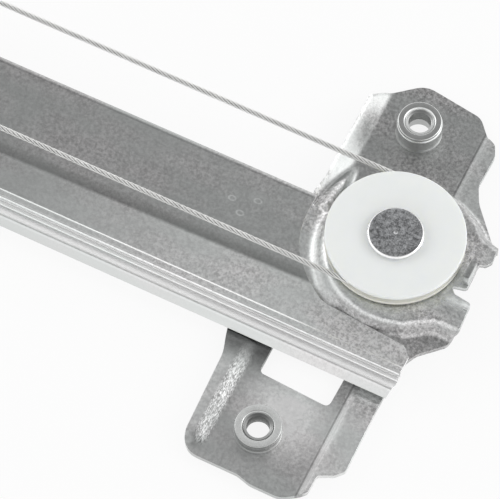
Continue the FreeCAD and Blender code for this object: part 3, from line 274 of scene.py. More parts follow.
# Two places are where a mask is 0 and where it is 1, and two numbers after them are its values there instead.
# In rimReach, crease, ridge, slopeLevel and seatLevel, a band's two sides are followed by its softness.
bracketTones = {
    # upperShare and lowerShare paint shade on the upper wing and light on the lower one
    "upperStart": (0.014, 0.024),
    "upperShare": -0.14,
    "lowerStart": (-0.030, -0.040),
    "lowerShare": 0.14,
    "lowerPolish": 0.65,                    # the share of grain that the lower wing lacks
    "highlightSpot": (0.005, -0.046),          # a painted highlight in the lower wing's middle
    "highlightReach": (0.017, 0.003),
    "highlightShare": 0.95,
    "flangeShadeLow": (-0.0380, -0.0320),         # painted shade under the rail's flange
    "flangeShadeHigh": (-0.0200, -0.0290),
    "flangeShadeFade": (0.0, 0.015, 1.0, 0.25),
    "flangeShadeShare": -0.62,
    "tabLevel": (0.0160, 0.0164),
    "tabShare": -0.5,
    # painted light on the platform's top, but not on the upper wing's top
    "platformLevel": (0.0100, 0.0112),
    "platformEnd": (0.022, 0.026),          # the upper wing's top lies past it
    "platformShare": 0.45,
    "rimCentre": (0.014, 0.012),            # a painted highlight on the platform's left rim
    "rimReach": (0.0236, 0.0248, 0.0006),
    "rimAlong": (-0.002, -0.006),
    "rimAbove": (0.014, 0.010),
    "rimBelow": (-0.012, -0.008),
    "rimShare": 0.38,
    # painted light on the wings' borders
    "upperBorders": (0.026, 0.030),
    "lowerBorders": (-0.0275, -0.0285),
    "rightBorder": (0.0198, 0.0206),
    "leftBorder": (-0.0150, -0.0165),
    "borderShare": 0.40,
    "crease": (0.0180, 0.0184, 0.0002),     # painted shade, a dark line along each right border
    "creaseShare": -0.40,
    # painted shade along the lower wing's right ridge
    "ridge": (0.0187, 0.0196, 0.0002),
    "ridgeShare": -0.28,
    "leftStart": (-0.0020, -0.0050),
    "slopeLevel": (0.0060, 0.0105, 0.0006), # painted light on the slope below the upper wing's bright left flange
    "slopeShare": 0.7,
    # painted light on the seat on the platform's left
    "seatLevel": (0.0062, 0.0074, 0.0003),
    "seatShare": 0.45,
    "dashFacing": (0.12, 0.28),             # fine dashes on the lower wing's left bend where it faces the side; the pattern also lifts the tone a little, a painted highlight
    "dashStart": (-0.0070, -0.0090),
    "dashScale": (3600.0, 900.0, 900.0),
    "dashRange": (0.42, 0.58),
    "dashMiddle": 0.4,
    "dashShare": 0.75,
}


def bracketShading(graph, spot):
    # painted light and shade: the upper wing is darker, the lower one lighter with a highlight in its middle;
    # the borders and the raised places are lighter still, creases and the place under the rail darker
    values = bracketTones
    along, side = graph.mirrored(graph.part(spot, 0), railMiddle)
    across, height = graph.part(spot, 1), graph.part(spot, 2)
    upper = graph.remap(across, *values["upperStart"])
    lower = graph.remap(across, *values["lowerStart"])
    left = graph.remap(along, *values["leftStart"])
    wings = graph.remap(across, *values["upperBorders"]) + graph.remap(across, *values["lowerBorders"])
    borders = wings * graph.remap(along, *values["rightBorder"])
    borders = borders + lower * graph.remap(along, *values["leftBorder"])
    middleHighlight = graph.remap(graph.reach(along, across, values["highlightSpot"]), *values["highlightReach"])
    flangeShade = graph.remap(across, *values["flangeShadeLow"]) * graph.remap(across, *values["flangeShadeHigh"])
    wingTop = upper * graph.remap(across, *values["platformEnd"])
    rim = graph.band(graph.reach(along, across, values["rimCentre"]), *values["rimReach"])
    rim = rim * graph.remap(across, *values["rimAbove"]) * graph.remap(across, *values["rimBelow"])
    facing = graph.part(graph.normal(), 0) * side
    dashBand = graph.remap(facing, *values["dashFacing"]) * lower * graph.remap(along, *values["dashStart"])
    dashes = graph.remap(graph.noise(graph.place(values["dashScale"]), 1.0, 2.0, 0.6), *values["dashRange"])
    tones = layered(1.0, [
        (values["upperShare"], upper),
        (values["lowerShare"], lower),
        (values["highlightShare"], middleHighlight),
        (values["flangeShadeShare"], flangeShade * graph.remap(along, *values["flangeShadeFade"])),
        (values["tabShare"], graph.remap(height, *values["tabLevel"])),
        (values["platformShare"], graph.remap(height, *values["platformLevel"]) * (1 - wingTop)),
        (values["rimShare"], rim * graph.remap(along, *values["rimAlong"])),
        (values["creaseShare"], wings * graph.band(along, *values["crease"])),
        (values["ridgeShare"], lower * graph.band(along, *values["ridge"])),
        (values["borderShare"], borders),
        (values["slopeShare"], upper * left * graph.band(height, *values["slopeLevel"])),
        (values["seatShare"], (1 - upper) * left * graph.band(height, *values["seatLevel"])),
        (values["dashShare"], dashBand * (dashes - values["dashMiddle"])),
    ])
    return tones, 1 - values["lowerPolish"] * lower * (1 - dashBand)


# Places as for the bracket.
# The painted shadow, the crest's painted light and the low strip are counted from stepLine, the web's long
# bend.
railTones = {
    "web": (-0.120, -0.010, 0.90, 1.06),    # painted light: the web's tone rises towards the rail's ends
    "grain": (-0.060, -0.010, 0.8, 1.3),    # and so does its grain
    "flangePolish": 0.7,
    # painted highlight on the folds
    "foldFacing": (0.12, 0.35),
    "foldStart": (0.0, -0.005),
    "foldShare": 0.7,
    "lines": [                              # painted highlights and a painted dark line near the top edge: share, then the strip's sides and softness
        (-0.25, (0.0172, 0.0176, 0.0002)),
        (0.60, (-0.0222, -0.0208, 0.0002)),
        (0.90, (-0.0232, -0.0222, 0.0001)),
    ],
    "stepLine": (-0.130, 0.0, -0.0100, -0.0070),
    "shadowFade": (0.0030, 0.0002),
    "shadowEdge": (-0.0004, -0.0001),
    "shadowShare": -0.20,
    # the crest is a painted light edge just below the step's painted shadow
    "crestFade": (-0.0016, -0.0006),
    "crestEdge": (-0.0002, -0.0005),
    "crestShare": 0.14,
    "lowStart": (-0.0004, -0.0014),         # the lower strip of the web, painted lighter, more towards the rail's ends
    "lowEnd": (-0.0206, -0.0202),
    "lowShare": (-0.105, -0.035, 0.16, 0.60),
    # painted light on the outer wall and the flange, less on its curl
    "wallStart": (-0.0229, -0.0231),
    "wallTop": (0.0080, 0.0074),
    "wallShare": 0.50,
    "flangeTop": (0.0058, 0.0050),
    "flangeStart": (-0.0228, -0.0232),
    "flangeShare": 1.0,
    "curlStart": (-0.0266, -0.0274),
    "curlLoss": 0.6,
    # painted highlight on faces turned towards the rail's ends
    "endFacing": (0.25, 0.5),
    "endShare": 1.2,
    "welds": [(-0.0384, 0.0067), (-0.0312, 0.0091), (-0.0342, 0.0033)],
    "weldStretch": 0.7071,                  # the marks are longer along the rail
    "weldInside": (0.0004, 0.0007),
    "weldOutside": (0.0011, 0.0008),
    "weldShare": 0.35,
}


def railShading(graph, spot):
    # towards its ends the web is grainier and painted lighter, with three small weld marks; folds, flange,
    # wall and cut ends get painted light and highlights, the step a painted shadow
    values = railTones
    along, side = graph.mirrored(graph.part(spot, 0), railMiddle)
    across, height = graph.part(spot, 1), graph.part(spot, 2)
    normal = graph.normal()
    fold = graph.remap(graph.part(normal, 1), *values["foldFacing"])
    fold = fold * graph.remap(across, *values["foldStart"])
    step = across - graph.remap(along, *values["stepLine"])
    shadow = graph.remap(step, *values["shadowFade"]) * graph.remap(step, *values["shadowEdge"])
    crest = graph.remap(step, *values["crestFade"]) * graph.remap(step, *values["crestEdge"])
    low = graph.remap(step, *values["lowStart"]) * graph.remap(across, *values["lowEnd"])
    wall = graph.remap(across, *values["wallStart"]) * graph.remap(height, *values["wallTop"])
    flange = graph.remap(height, *values["flangeTop"]) * graph.remap(across, *values["flangeStart"])
    curl = graph.remap(across, *values["curlStart"])
    layers = [
        (values["foldShare"], fold),
        (values["shadowShare"], shadow),
        (values["crestShare"], crest),
        (1.0, low * graph.remap(along, *values["lowShare"])),
        (values["wallShare"], wall * (1 - flange)),
        (values["flangeShare"], flange * (1 - values["curlLoss"] * curl)),
        (values["endShare"], graph.remap(graph.part(normal, 0) * side, *values["endFacing"])),
    ]
    layers += [(share, graph.band(across, *place)) for share, place in values["lines"]]
    for centre in values["welds"]:
        reach = graph.reach(along, across, centre, values["weldStretch"])
        ring = graph.remap(reach, *values["weldInside"]) * graph.remap(reach, *values["weldOutside"])
        layers.append((values["weldShare"], ring))
    grain = graph.remap(along, *values["grain"]) * (1 - values["flangePolish"] * flange)
    return layered(graph.remap(along, *values["web"]), layers), grain


bracketSteel = makeSheetSteel("bracketSteel", sheetSteel, bracketShading, 1.3)
railFinish = dict(sheetSteel, grainDepth=0.00003, roughness=0.36)
railSteel = makeSheetSteel("railSteel", railFinish, railShading, 0.8)
plateSteel = makeSheetSteel("plateSteel", sheetSteel)

turnedSteel = {
    "tone": 0.56,
    "blue": 0.975,
    "blotchScale": 300.0,
    "blotchSwing": 0.12,
    "grainScale": 1500.0,
    "grainDepth": 0.00002,
    "roughness": 0.24,
    "glossSwing": 0.16,
}


def makeTurnedSteel(name, values):
    material, graph, shader = newMaterial(name, {"Metallic": 1.0})
    spot = graph.place()
    wear = graph.noise(spot, values["grainScale"], 3.0, 0.6)
    blotch = graph.noise(spot, values["blotchScale"], 2.0, 0.5)
    tones = values["tone"] * graph.swing(blotch, values["blotchSwing"])
    connect(graph, shader, Base_Color=graph.colour(tones, tones, tones * values["blue"]),
            Roughness=values["roughness"] + values["glossSwing"] * (wear - 0.4),
            Normal=graph.bump(wear, 0.35, values["grainDepth"]))
    return material


nutFinishAndLight = {
    # the tones of the tops and sides are painted light and shade, set apart for the upper and the lower
    # wing's nuts
    "upperTop": 0.40,
    "lowerTop": 0.86,
    "upperSide": 0.84,
    "lowerSide": 0.54,
    "wingSplit": (-0.01, 0.01),     # the lower wing's nuts lie below it, the upper wing's above
    "flatness": (0.95, 0.99),
    # painted shade in the bores
    "boreDark": 0.45,
    "grainScale": 2200.0,
    "grainSwing": 0.5,
    "grainDepth": 0.00003,
    "blotchScale": 420.0,
    "blotchSwing": 0.16,
    "red": 0.985,
    "blue": 0.99,
    "roughness": 0.34,
    "topRoughness": 0.08,
    "glossSwing": 0.08,
}


def makeNutSteel(name, values):
    # turned sides and rims, and duller flat tops; the tones of tops and sides are painted light and shade,
    # set apart for the upper and the lower wing's nuts, and the bores get painted shade
    material, graph, shader = newMaterial(name, {"Metallic": 1.0})
    spot = graph.place()
    grain = graph.noise(spot, values["grainScale"], 4.0, 0.7)
    blotch = graph.noise(spot, values["blotchScale"], 2.0, 0.5)
    across = graph.part(spot, 1)
    top = graph.remap(graph.part(graph.normal(), 2), *values["flatness"])
    topTone = graph.remap(across, *values["wingSplit"], values["lowerTop"], values["upperTop"])
    sideTone = graph.remap(across, *values["wingSplit"], values["lowerSide"], values["upperSide"])
    tones = sideTone * (1 - top) + topTone * top * graph.swing(grain, values["grainSwing"])
    tones = tones * graph.swing(blotch, values["blotchSwing"])
    tones = tones * (1 - values["boreDark"] * graph.attribute("boreShade"))
    gloss = values["roughness"] + values["topRoughness"] * top + values["glossSwing"] * (grain - 0.5)
    connect(graph, shader, Base_Color=graph.colour(tones * values["red"], tones, tones * values["blue"]),
            Roughness=gloss, Normal=graph.bump(grain * (0.3 + 0.7 * top), 0.4, values["grainDepth"]))
    return material


nutSteel = makeNutSteel("nutSteel", nutFinishAndLight)
screwSteel = makeTurnedSteel("screwSteel", dict(turnedSteel, tone=0.5, roughness=0.3))
springSteel = makeTurnedSteel("springSteel", dict(turnedSteel, tone=0.42, roughness=0.3))
nippleZinc = makeTurnedSteel("nippleZinc", dict(turnedSteel, tone=0.55, roughness=0.42))

pinHead = {
    "tone": 0.40,
    "darkest": 0.50,                # the share of the tone that the darkest spots keep
    "lightest": 1.42,
    "edgeTone": 0.85,
    "edgeSwing": 0.1,
    "green": 0.02,
    "blue": 0.045,
    "spotScale": 900.0,
    "fineScale": 2400.0,
    "fineShare": 0.35,
    "spotRange": (0.42, 0.60),
    "spotDepth": 0.00004,
    "flatness": (0.93, 0.985),
    "topBand": (-0.00022, -0.00012),  # from the head's top
    "edgeRoughness": 0.22,
    "roughness": 0.40,
    "glossSwing": 0.18,
}


def makePinSteel(name, values, level):
    # the head's flat top is darker and speckled; its edge and shank stay bright
    material, graph, shader = newMaterial(name, {"Metallic": 1.0})
    spot = graph.place()
    spots = graph.noise(spot, values["spotScale"], 4.0, 0.75)
    fine = graph.noise(spot, values["fineScale"], 3.0, 0.7)
    high = graph.remap(graph.part(spot, 2) - level, *values["topBand"])
    top = graph.remap(graph.part(graph.normal(), 2), *values["flatness"]) * high
    speckle = spots * (1 - values["fineShare"]) + fine * values["fineShare"]
    speckle = graph.remap(speckle, *values["spotRange"])
    dark = values["tone"] * (values["darkest"] + (values["lightest"] - values["darkest"]) * speckle)
    tones = dark * top + (values["edgeTone"] + values["edgeSwing"] * (fine - 0.5)) * (1 - top)
    colour = graph.colour(tones, tones * (1 + values["green"] * top), tones * (1 + values["blue"] * top))
    rise = values["roughness"] - values["edgeRoughness"]
    rough = values["edgeRoughness"] + top * (rise + values["glossSwing"] * (speckle - 0.5))
    connect(graph, shader, Base_Color=colour, Roughness=rough,
            Normal=graph.bump(speckle * top + 0.3 * fine, 0.5, values["spotDepth"]))
    return material


ropeSteel = {
    "tone": 0.925,
    "dirtScale": 420.0,
    "dirtSwing": 0.25,
    "wireScale": 3400.0,
    "wireSwing": 0.20,
    "wireDepth": 0.00006,
    # painted shade in the gaps between the strands
    "gapTone": 0.16,
    "gapReach": (0.66, 0.88),       # shares of the rope's radius
    "blue": 0.985,
    "roughness": 0.34,
    "glossSwing": 0.15,
}


def makeRopeSteel(name, values):
    material, graph, shader = newMaterial(name, {"Metallic": 1.0})
    spot = graph.place()
    wires = graph.noise(spot, values["wireScale"], 2.0, 0.6)
    dirt = graph.noise(spot, values["dirtScale"], 2.0, 0.5)
    tones = values["tone"] + values["dirtSwing"] * (dirt - 0.5) + values["wireSwing"] * (wires - 0.5)
    tones = tones * graph.remap(graph.attribute("strandHeight"), *values["gapReach"], values["gapTone"], 1.0)
    connect(graph, shader, Base_Color=graph.colour(tones, tones, tones * values["blue"]),
            Roughness=values["roughness"] + values["glossSwing"] * (dirt - 0.5),
            Normal=graph.bump(wires, 0.6, values["wireDepth"]))
    return material


nylon = {
    "face": (0.955, 0.985, 0.97, 1.0),
    "faceCloud": (0.925, 0.96, 0.95, 1.0),
    # the lower flange and groove are darker and yellower: painted shade with a warmer tint
    "rim": (0.80, 0.795, 0.735, 1.0),
    "rimBand": (-0.0030, -0.0012),  # from the face
    "cloudScale": 160.0,
    "cloudRange": (0.3, 0.7),
    "fineScale": 1800.0,
    "fineHeight": 0.3,
    "depth": 0.00004,
    "roughness": 0.36,
    "glossSwing": 0.08,
}


def makeNylon(name, values, faceLevel):
    # natural nylon: the face is clean white, the lower flange and the groove darker and a little yellower,
    # painted shade with a warmer tint
    material, graph, shader = newMaterial(name, {
        "Subsurface Weight": 0.25, "Subsurface Radius": (0.004, 0.004, 0.003), "Subsurface Scale": 0.25,
        "Specular IOR Level": 0.42})
    spot = graph.place()
    cloud = graph.noise(spot, values["cloudScale"], 2.0, 0.5)
    fine = graph.noise(spot, values["fineScale"], 2.0, 0.6)
    low = 1 - graph.remap(graph.part(spot, 2) - faceLevel, *values["rimBand"])
    face = graph.mixColour(graph.remap(cloud, *values["cloudRange"]), values["face"], values["faceCloud"])
    connect(graph, shader, Base_Color=graph.mixColour(low, face, values["rim"]),
            Roughness=values["roughness"] + values["glossSwing"] * (cloud - 0.5),
            Normal=graph.bump(fine * values["fineHeight"] + cloud, 0.25, values["depth"]))
    return material


plastic = {
    "tone": 0.022,
    "leastTone": 0.85,
    "flowScale": 90.0,
    "flowShare": 0.4,
    "grainScale": 2200.0,
    "grainShare": 0.2,
    "grainDepth": 0.00005,
    "blue": 1.03,
    "roughness": 0.46,
    "glossSwing": 0.16,
}


def makePlastic(name, values):
    material, graph, shader = newMaterial(name, {"Specular IOR Level": 0.45})
    spot = graph.place()
    grain = graph.noise(spot, values["grainScale"], 3.0, 0.6)
    flow = graph.noise(spot, values["flowScale"], 2.0, 0.5)
    tones = values["tone"] * (values["leastTone"] + values["flowShare"] * flow + values["grainShare"] * grain)
    connect(graph, shader, Base_Color=graph.colour(tones, tones, tones * values["blue"]),
            Roughness=values["roughness"] + values["glossSwing"] * (flow - 0.5),
            Normal=graph.bump(grain, 0.4, values["grainDepth"]))
    return material


pinSteel = makePinSteel("pinSteel", pinHead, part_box("upper_pulley_pin")[1].z)
ropeMetal = makeRopeSteel("ropeMetal", ropeSteel)
whiteNylon = makeNylon("whiteNylon", nylon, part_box("upper_pulley")[1].z)
drumNylon = makeNylon("drumNylon", dict(nylon, face=(0.74, 0.74, 0.70, 1.0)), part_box("cable_drum")[1].z)
blackPlastic = makePlastic("blackPlastic", plastic)
rubber = makePlastic("rubber", dict(plastic, tone=0.018, roughness=0.72, grainScale=1500.0))

cadFinishes = {
    "drum_bracket": plateSteel, "carrier_plate": plateSteel, "guide_rail": railSteel,
    "upper_bracket": bracketSteel, "lower_bracket": bracketSteel,
    "tall_weld_nuts": nutSteel, "short_weld_nuts": nutSteel, "motor_nuts": nutSteel,
    "drum_bracket_rivets": screwSteel, "carrier_rivets": screwSteel, "housing_screws": screwSteel,
    "upper_pulley_washer": screwSteel, "lower_pulley_washer": screwSteel,
    "upper_pulley_pin": pinSteel, "lower_pulley_pin": pinSteel,
    "lift_cable": ropeMetal, "lowering_cable": ropeMetal,
    "upper_pulley": whiteNylon, "lower_pulley": whiteNylon, "cable_drum": drumNylon,
    "drum_housing": blackPlastic, "drum_cover": blackPlastic, "carrier_body": blackPlastic,
    "glass_pads": rubber, "lower_stop": rubber,
    "lift_tension_spring": springSteel, "lowering_tension_spring": springSteel,
    "lift_cable_nipple": nippleZinc, "lowering_cable_nipple": nippleZinc,
}
for node, finish in cadFinishes.items():
    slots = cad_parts[node].data.materials
    slots.clear()
    slots.append(finish)

# places read from the frame


def middle(node):
    low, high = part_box(node)
    return (low + high) / (2 * mm)


pulleyPlace = middle("upper_pulley")
lowerPulleyPlace = middle("lower_pulley")
drumPlace = middle("cable_drum")
middleX = (pulleyPlace.x + lowerPulleyPlace.x) / 2


def keepPiece(name, shape, material, body, slot, *nodes, sharpFrom=40.0):
    # a finished bmesh, in millimetres, becomes a piece that rides on a body
    bmesh.ops.transform(shape, matrix=Matrix.Scale(mm, 4), verts=shape.verts)
    mesh = bpy.data.meshes.new(name)
    shape.to_mesh(mesh)
    shape.free()
    return keepMesh(name, mesh, material, body, slot, *nodes, sharpFrom=sharpFrom)


def keepMesh(name, mesh, material, body, slot, *nodes, sharpFrom=40.0):
    mesh.shade_smooth()
    mesh.set_sharp_from_angle(angle=math.radians(sharpFrom))
    mesh.materials.clear()
    mesh.materials.append(material)
    piece = bpy.data.objects.new(name, mesh)
    bpy.context.scene.collection.objects.link(piece)
    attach(piece, body)
    if nodes:
        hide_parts(*nodes)
    return piece


def roundedOutline(corners, steps=6):
    # the (x, y) points of a closed outline whose (x, y, radius) corners are rounded
    points = []
    for index, (x, y, radius) in enumerate(corners):
        here = np.array((x, y))
        before = np.array(corners[index - 1][:2]) - here
        after = np.array(corners[(index + 1) % len(corners)][:2]) - here
        before = before / np.linalg.norm(before)
        after = after / np.linalg.norm(after)
        half = math.acos(max(-1.0, min(1.0, float(before @ after)))) / 2
        if radius == 0 or half > 1.55:
            points.append(here)
            continue
        reach = radius / math.tan(half)
        centre = here + (before + after) / np.linalg.norm(before + after) * radius / math.sin(half)
        first = here + before * reach - centre
        last = here + after * reach - centre
        sweep = math.pi - 2 * half
        side = 1 if first[0] * last[1] - first[1] * last[0] > 0 else -1
        for step in range(steps + 1):
            turn = side * sweep * step / steps
            cosine, sine = math.cos(turn), math.sin(turn)
            points.append(centre + np.array((first[0] * cosine - first[1] * sine,
                                             first[0] * sine + first[1] * cosine)))
    return np.array(points)


def outlineReach(spots, outline):
    # each spot's signed distance from a closed outline, negative inside, and its nearest point on it
    best = np.full(len(spots), 1e9)
    nearest = np.zeros((len(spots), 2))
    inside = np.zeros(len(spots), bool)
    for start, end in zip(outline, np.roll(outline, -1, axis=0)):
        along = end - start
        offset = spots - start
        share = np.clip((offset @ along) / max(along @ along, 1e-12), 0, 1)
        foot = start + share[:, None] * along
        gap = np.hypot(*(spots - foot).T)
        closer = gap < best
        best[closer] = gap[closer]
        nearest[closer] = foot[closer]
        crosses = (start[1] > spots[:, 1]) != (end[1] > spots[:, 1])
        with np.errstate(divide="ignore", invalid="ignore"):
            edgeX = start[0] + (spots[:, 1] - start[1]) / (end[1] - start[1]) * along[0]
        inside ^= crosses & (spots[:, 0] < edgeX)
    return np.where(inside, -best, best), nearest


print("pressed brackets")

bracket = {
    "gauge": 1.8,
    "border": 3.6,
    "borderStart": -31.9,                    # the lower wing's borders begin there
    "leftBorderEnd": (-62.5, -15.9),
    "leftBorderSlope": 24,
    "rightBorder": 2.8,
    "rightBend": 19.9,                       # where the right borders reach their level
    "rightBorderSlope": 35,
    "flangeFoot": -12.7,                     # of the upper wing's left flange
    "flangeSlope": 42,
    "seat": 6.8,
    "lowSeat": 6.2,
    "seatSlope": 50,
    "platform": 11.6,
    "armSlope": 66,
    "tongueRise": 0.9,
    "dome": (14.0, 12.0, 23.3, 75.0),        # centre, radius and slope of the pulley's platform
    "domeLeft": (14.0, 12.0, 19.4, 32.0),    # its gentler left side
    "leftEnd": 4.0,
    "broad": (14.0, 13.0, 25.6, 50.0),
    "broadEnd": -11.0,
    "valley": 16.2,
    "cell": 0.5,
    "rimGap": 0.3,                           # of the grid beyond the outline
    "bendPasses": 7,
    "domePasses": 4,                         # more rounds of smoothing on the left of the platform
    "domeRing": (17.0, 30.0),                # their reach from its centre
    "domeRingEnd": 16.0,
    "holeRadius": 4.2,
    "pinHole": 4.0,
    "sharpEdge": 60.0,
    "edgeBreak": 0.14,
    "tabLow": (33.9, 9.6, 8.0),
    "tabHigh": (35.7, 16.0, 16.5),
    "tabEdge": 0.35,
    "spacing": (108.0, 104.0),               # between the nuts of the upper and the lower bracket
}


def circleOutline(x, y, radius, count=48):
    turns = np.arange(count) * 2 * math.pi / count
    return np.stack([x + radius * np.cos(turns), y + radius * np.sin(turns)], 1)


# The levels are asked for twice, for the sheet's top and, sunk and inset by its gauge, for its back.


def rise(spots, corners, top, slope, sink, inset):
    # level of a flat-topped rise with sloping sides
    reach = outlineReach(spots, np.array(corners, float))[0]
    tangent = math.tan(math.radians(slope))
    return top - sink - tangent * np.maximum(0, reach + inset * math.tan(math.radians(slope) / 2))


def roundRise(spots, dome, top, sink, inset):
    x, y, radius, slope = dome
    tangent = math.tan(math.radians(slope))
    reach = np.hypot(spots[:, 0] - x, spots[:, 1] - y) - radius + inset * math.tan(math.radians(slope) / 2)
    return top - sink - tangent * np.maximum(0, reach)


def bracketLevel(spots, sink=0.0, inset=0.0):
    x, y = spots.T
    floor = bracket["gauge"] - sink
    far = 70.0
    valley = bracket["valley"]
    bend = bracket["rightBend"]
    wing = bracket["borderStart"]
    wingEnd, borderEnd = bracket["leftBorderEnd"]
    slope = bracket["seatSlope"]
    platform = bracket["platform"]
    border = (bracket["rightBorder"], bracket["rightBorderSlope"], sink, inset)
    flangeReach = bracket["flangeFoot"] - inset * math.tan(math.radians(bracket["flangeSlope"] / 2)) - x
    flange = floor + flangeReach * math.tan(math.radians(bracket["flangeSlope"]))
    lowSeat = [(-far, 0), (-far, -18), (far, -18), (far, 0)]
    seat = [(-far, valley), (-far, -6), (far, -6), (far, -4), (11, -4), (11, valley)]
    arm = [(11.0, 33.0), (14.0, -8.0), (24.0, -9.2), (29.0, -5.6), (32.0, -4.0), (far, -4.4), (far, 22.6),
           (38.4, 24.2), (30.5, 25.8), (25.7, 29.2), (20.4, 33.0)]
    tongue = [(30.6, -0.2), (38.6, -0.2), (38.6, 3.2), (30.6, 3.2)]
    leftDome = roundRise(spots, bracket["domeLeft"], platform, sink, inset)
    broad = roundRise(spots, bracket["broad"], platform, sink, inset)
    upperBorder = [(bend, far), (bend, 30), (far, 30 - far / 2), (far, far)]
    lowerBorder = [(bend, wing), (bend, -far), (far, -far), (far, wing)]
    leftBorder = [(-far, wing), (-far, wingEnd), (borderEnd, wingEnd), (borderEnd, wing)]
    rises = [
        rise(spots, lowSeat, bracket["lowSeat"], slope, sink, inset),
        rise(spots, seat, bracket["seat"], slope, sink, inset),
        roundRise(spots, bracket["dome"], platform, sink, inset),
        np.where((x < bracket["leftEnd"]) & (y < valley), leftDome, floor),
        rise(spots, arm, platform, bracket["armSlope"], sink, inset),
        rise(spots, tongue, platform + bracket["tongueRise"], slope, sink, inset),
        np.where((y > valley) & (x < bracket["broadEnd"]), broad, floor),
        rise(spots, upperBorder, *border),
        np.where(y > valley, flange, floor),
        rise(spots, leftBorder, bracket["border"], bracket["leftBorderSlope"], sink, inset),
        rise(spots, lowerBorder, *border),
    ]
    level = np.full(len(spots), floor)
    for other in rises:
        level = np.maximum(level, other)
    return level


def bracketOutline(up, down):
    valley = bracket["valley"]
    return roundedOutline([
        (-18.2, down - 14.4, 6), (0.5, down - 14.4, 4), (5.0, down - 15.6, 4), (14.5, down - 15.6, 6),
        (21.0, down - 11.0, 2), (21.0, down - 5.2, 1.2), (25.5, down - 3.0, 2), (27.7, down - 0.6, 2),
        (27.3, -24.0, 3), (28.6, -18.5, 3), (31.0, -14.0, 4), (37.4, -7.8, 3), (38.2, -4.6, 1),
        (39.2, -3.6, 0.8), (38.9, 4.8, 1), (33.4, 5.6, 0.6), (31.4, 7.6, 0.6), (35.8, 8.6, 0.8),
        (35.8, 17.4, 0.6), (37.6, 17.8, 0.8), (38.9, 19.6, 0.8), (38.4, 25.4, 1),
        (26.2, 39.6, 12), (23.6, 45.0, 6), (23.9, up + 2.0, 3), (22.3, up + 5.6, 2), (19.2, up + 7.2, 1),
        (14.6, up + 12.6, 5), (-4.6, up + 15.4, 7), (-14.4, up + 7.2, 3), (-17.8, up + 3.0, 2),
        (-17.7, 34.0, 20), (-17.6, 27.0, 10), (-18.5, 19.7, 0.5), (-16.3, 19.7, 0.3),
        (-16.3, valley - 0.4, 0.3), (-46.0, valley - 0.4, 6), (-46.0, -16.0, 6), (-22.6, -19.0, 3),
        (-22.4, -28.4, 3), (-19.6, -37.0, 12),
    ])


def trimmedGrid(low, high, cell, outline, holes):
    # a flat grid of cells cut back to an outline and its holes, with its rim drawn onto them
    counts = [max(2, round((high[axis] - low[axis]) / cell)) for axis in (0, 1)]
    sheet = bmesh.new()
    bmesh.ops.create_grid(sheet, x_segments=counts[0], y_segments=counts[1], size=0.5)
    stretch = Matrix.Diagonal((high[0] - low[0], high[1] - low[1], 1, 1))
    centre = Matrix.Translation(((low[0] + high[0]) / 2, (low[1] + high[1]) / 2, 0))
    bmesh.ops.transform(sheet, matrix=centre @ stretch, verts=sheet.verts)
    middles = np.array([face.calc_center_median()[:2] for face in sheet.faces])
    outside = outlineReach(middles, outline)[0] > 0
    for hole in holes:
        outside |= outlineReach(middles, hole)[0] < 0
    doomed = [face for face, gone in zip(list(sheet.faces), outside) if gone]
    bmesh.ops.delete(sheet, geom=doomed, context="FACES")
    rim = [vert for vert in sheet.verts if vert.is_boundary]
    spots = np.array([vert.co[:2] for vert in rim])
    best, nearest = outlineReach(spots, outline)
    best = np.abs(best)
    for hole in holes:
        reach, foot = outlineReach(spots, hole)
        closer = np.abs(reach) < best
        best[closer] = np.abs(reach)[closer]
        nearest[closer] = foot[closer]
    for vert, (x, y) in zip(rim, nearest):
        vert.co.x = x
        vert.co.y = y
    bmesh.ops.dissolve_degenerate(sheet, dist=0.02, edges=sheet.edges)
    return sheet


def smoothLevels(sheet, levels):
    for vert, level in zip(sheet.verts, levels):
        vert.co.z = level
    for count in range(bracket["bendPasses"]):
        bmesh.ops.smooth_vert(sheet, verts=sheet.verts, factor=0.5, use_axis_z=True)
    low, high = bracket["domeRing"]
    soft = [vert for vert in sheet.verts if vert.co.x < bracket["domeRingEnd"]
            and low < math.dist(vert.co[:2], bracket["dome"][:2]) < high]
    for count in range(bracket["domePasses"]):
        bmesh.ops.smooth_vert(sheet, verts=soft, factor=0.5, use_axis_z=True)
    return [vert.co.z for vert in sheet.verts]


def pressedBracket(holeUp, holeDown):
    outline = bracketOutline(holeUp, holeDown)
    window = roundedOutline([(-8.0, -25.0, 1), (-8.0, -37.2, 1.6), (14.6, -38.4, 1.6), (15.0, -25.0, 1)])
    slit = np.array([(31.5, 1.6), (45.0, 1.6), (45.0, 2.1), (31.5, 2.1)])
    holes = [circleOutline(0, y, bracket["holeRadius"]) for y in (holeUp, holeDown)]
    holes += [circleOutline(pulleyPlace.x, pulleyPlace.y, bracket["pinHole"]), window, slit]
    low = outline.min(0) - bracket["rimGap"]
    high = outline.max(0) + bracket["rimGap"]
    sheet = trimmedGrid(low, high, bracket["cell"], outline, holes)
    backLevel = sheet.verts.layers.float.new("backLevel")
    spots = np.array([vert.co[:2] for vert in sheet.verts])
    under = smoothLevels(sheet, bracketLevel(spots, bracket["gauge"], bracket["gauge"]))
    for vert, level in zip(sheet.verts, under):
        vert[backLevel] = level
    smoothLevels(sheet, bracketLevel(spots))
    grown = bmesh.ops.extrude_face_region(sheet, geom=list(sheet.faces), use_keep_orig=True)
    for item in grown["geom"]:
        if isinstance(item, bmesh.types.BMVert):
            item.co.z = item[backLevel]
    bmesh.ops.recalc_face_normals(sheet, faces=sheet.faces)
    breakRim(sheet, bracket["edgeBreak"])
    addKeeperTab(sheet)
    return sheet


def breakRim(sheet, size):
    # the sheared edges of a sheet lose their sharpness
    rim = [edge for edge in sheet.edges if edge.calc_face_angle(0) > math.radians(bracket["sharpEdge"])]
    bmesh.ops.bevel(sheet, geom=rim, offset=size, segments=1, profile=0.5, affect="EDGES", material=-1,
                    clamp_overlap=True)


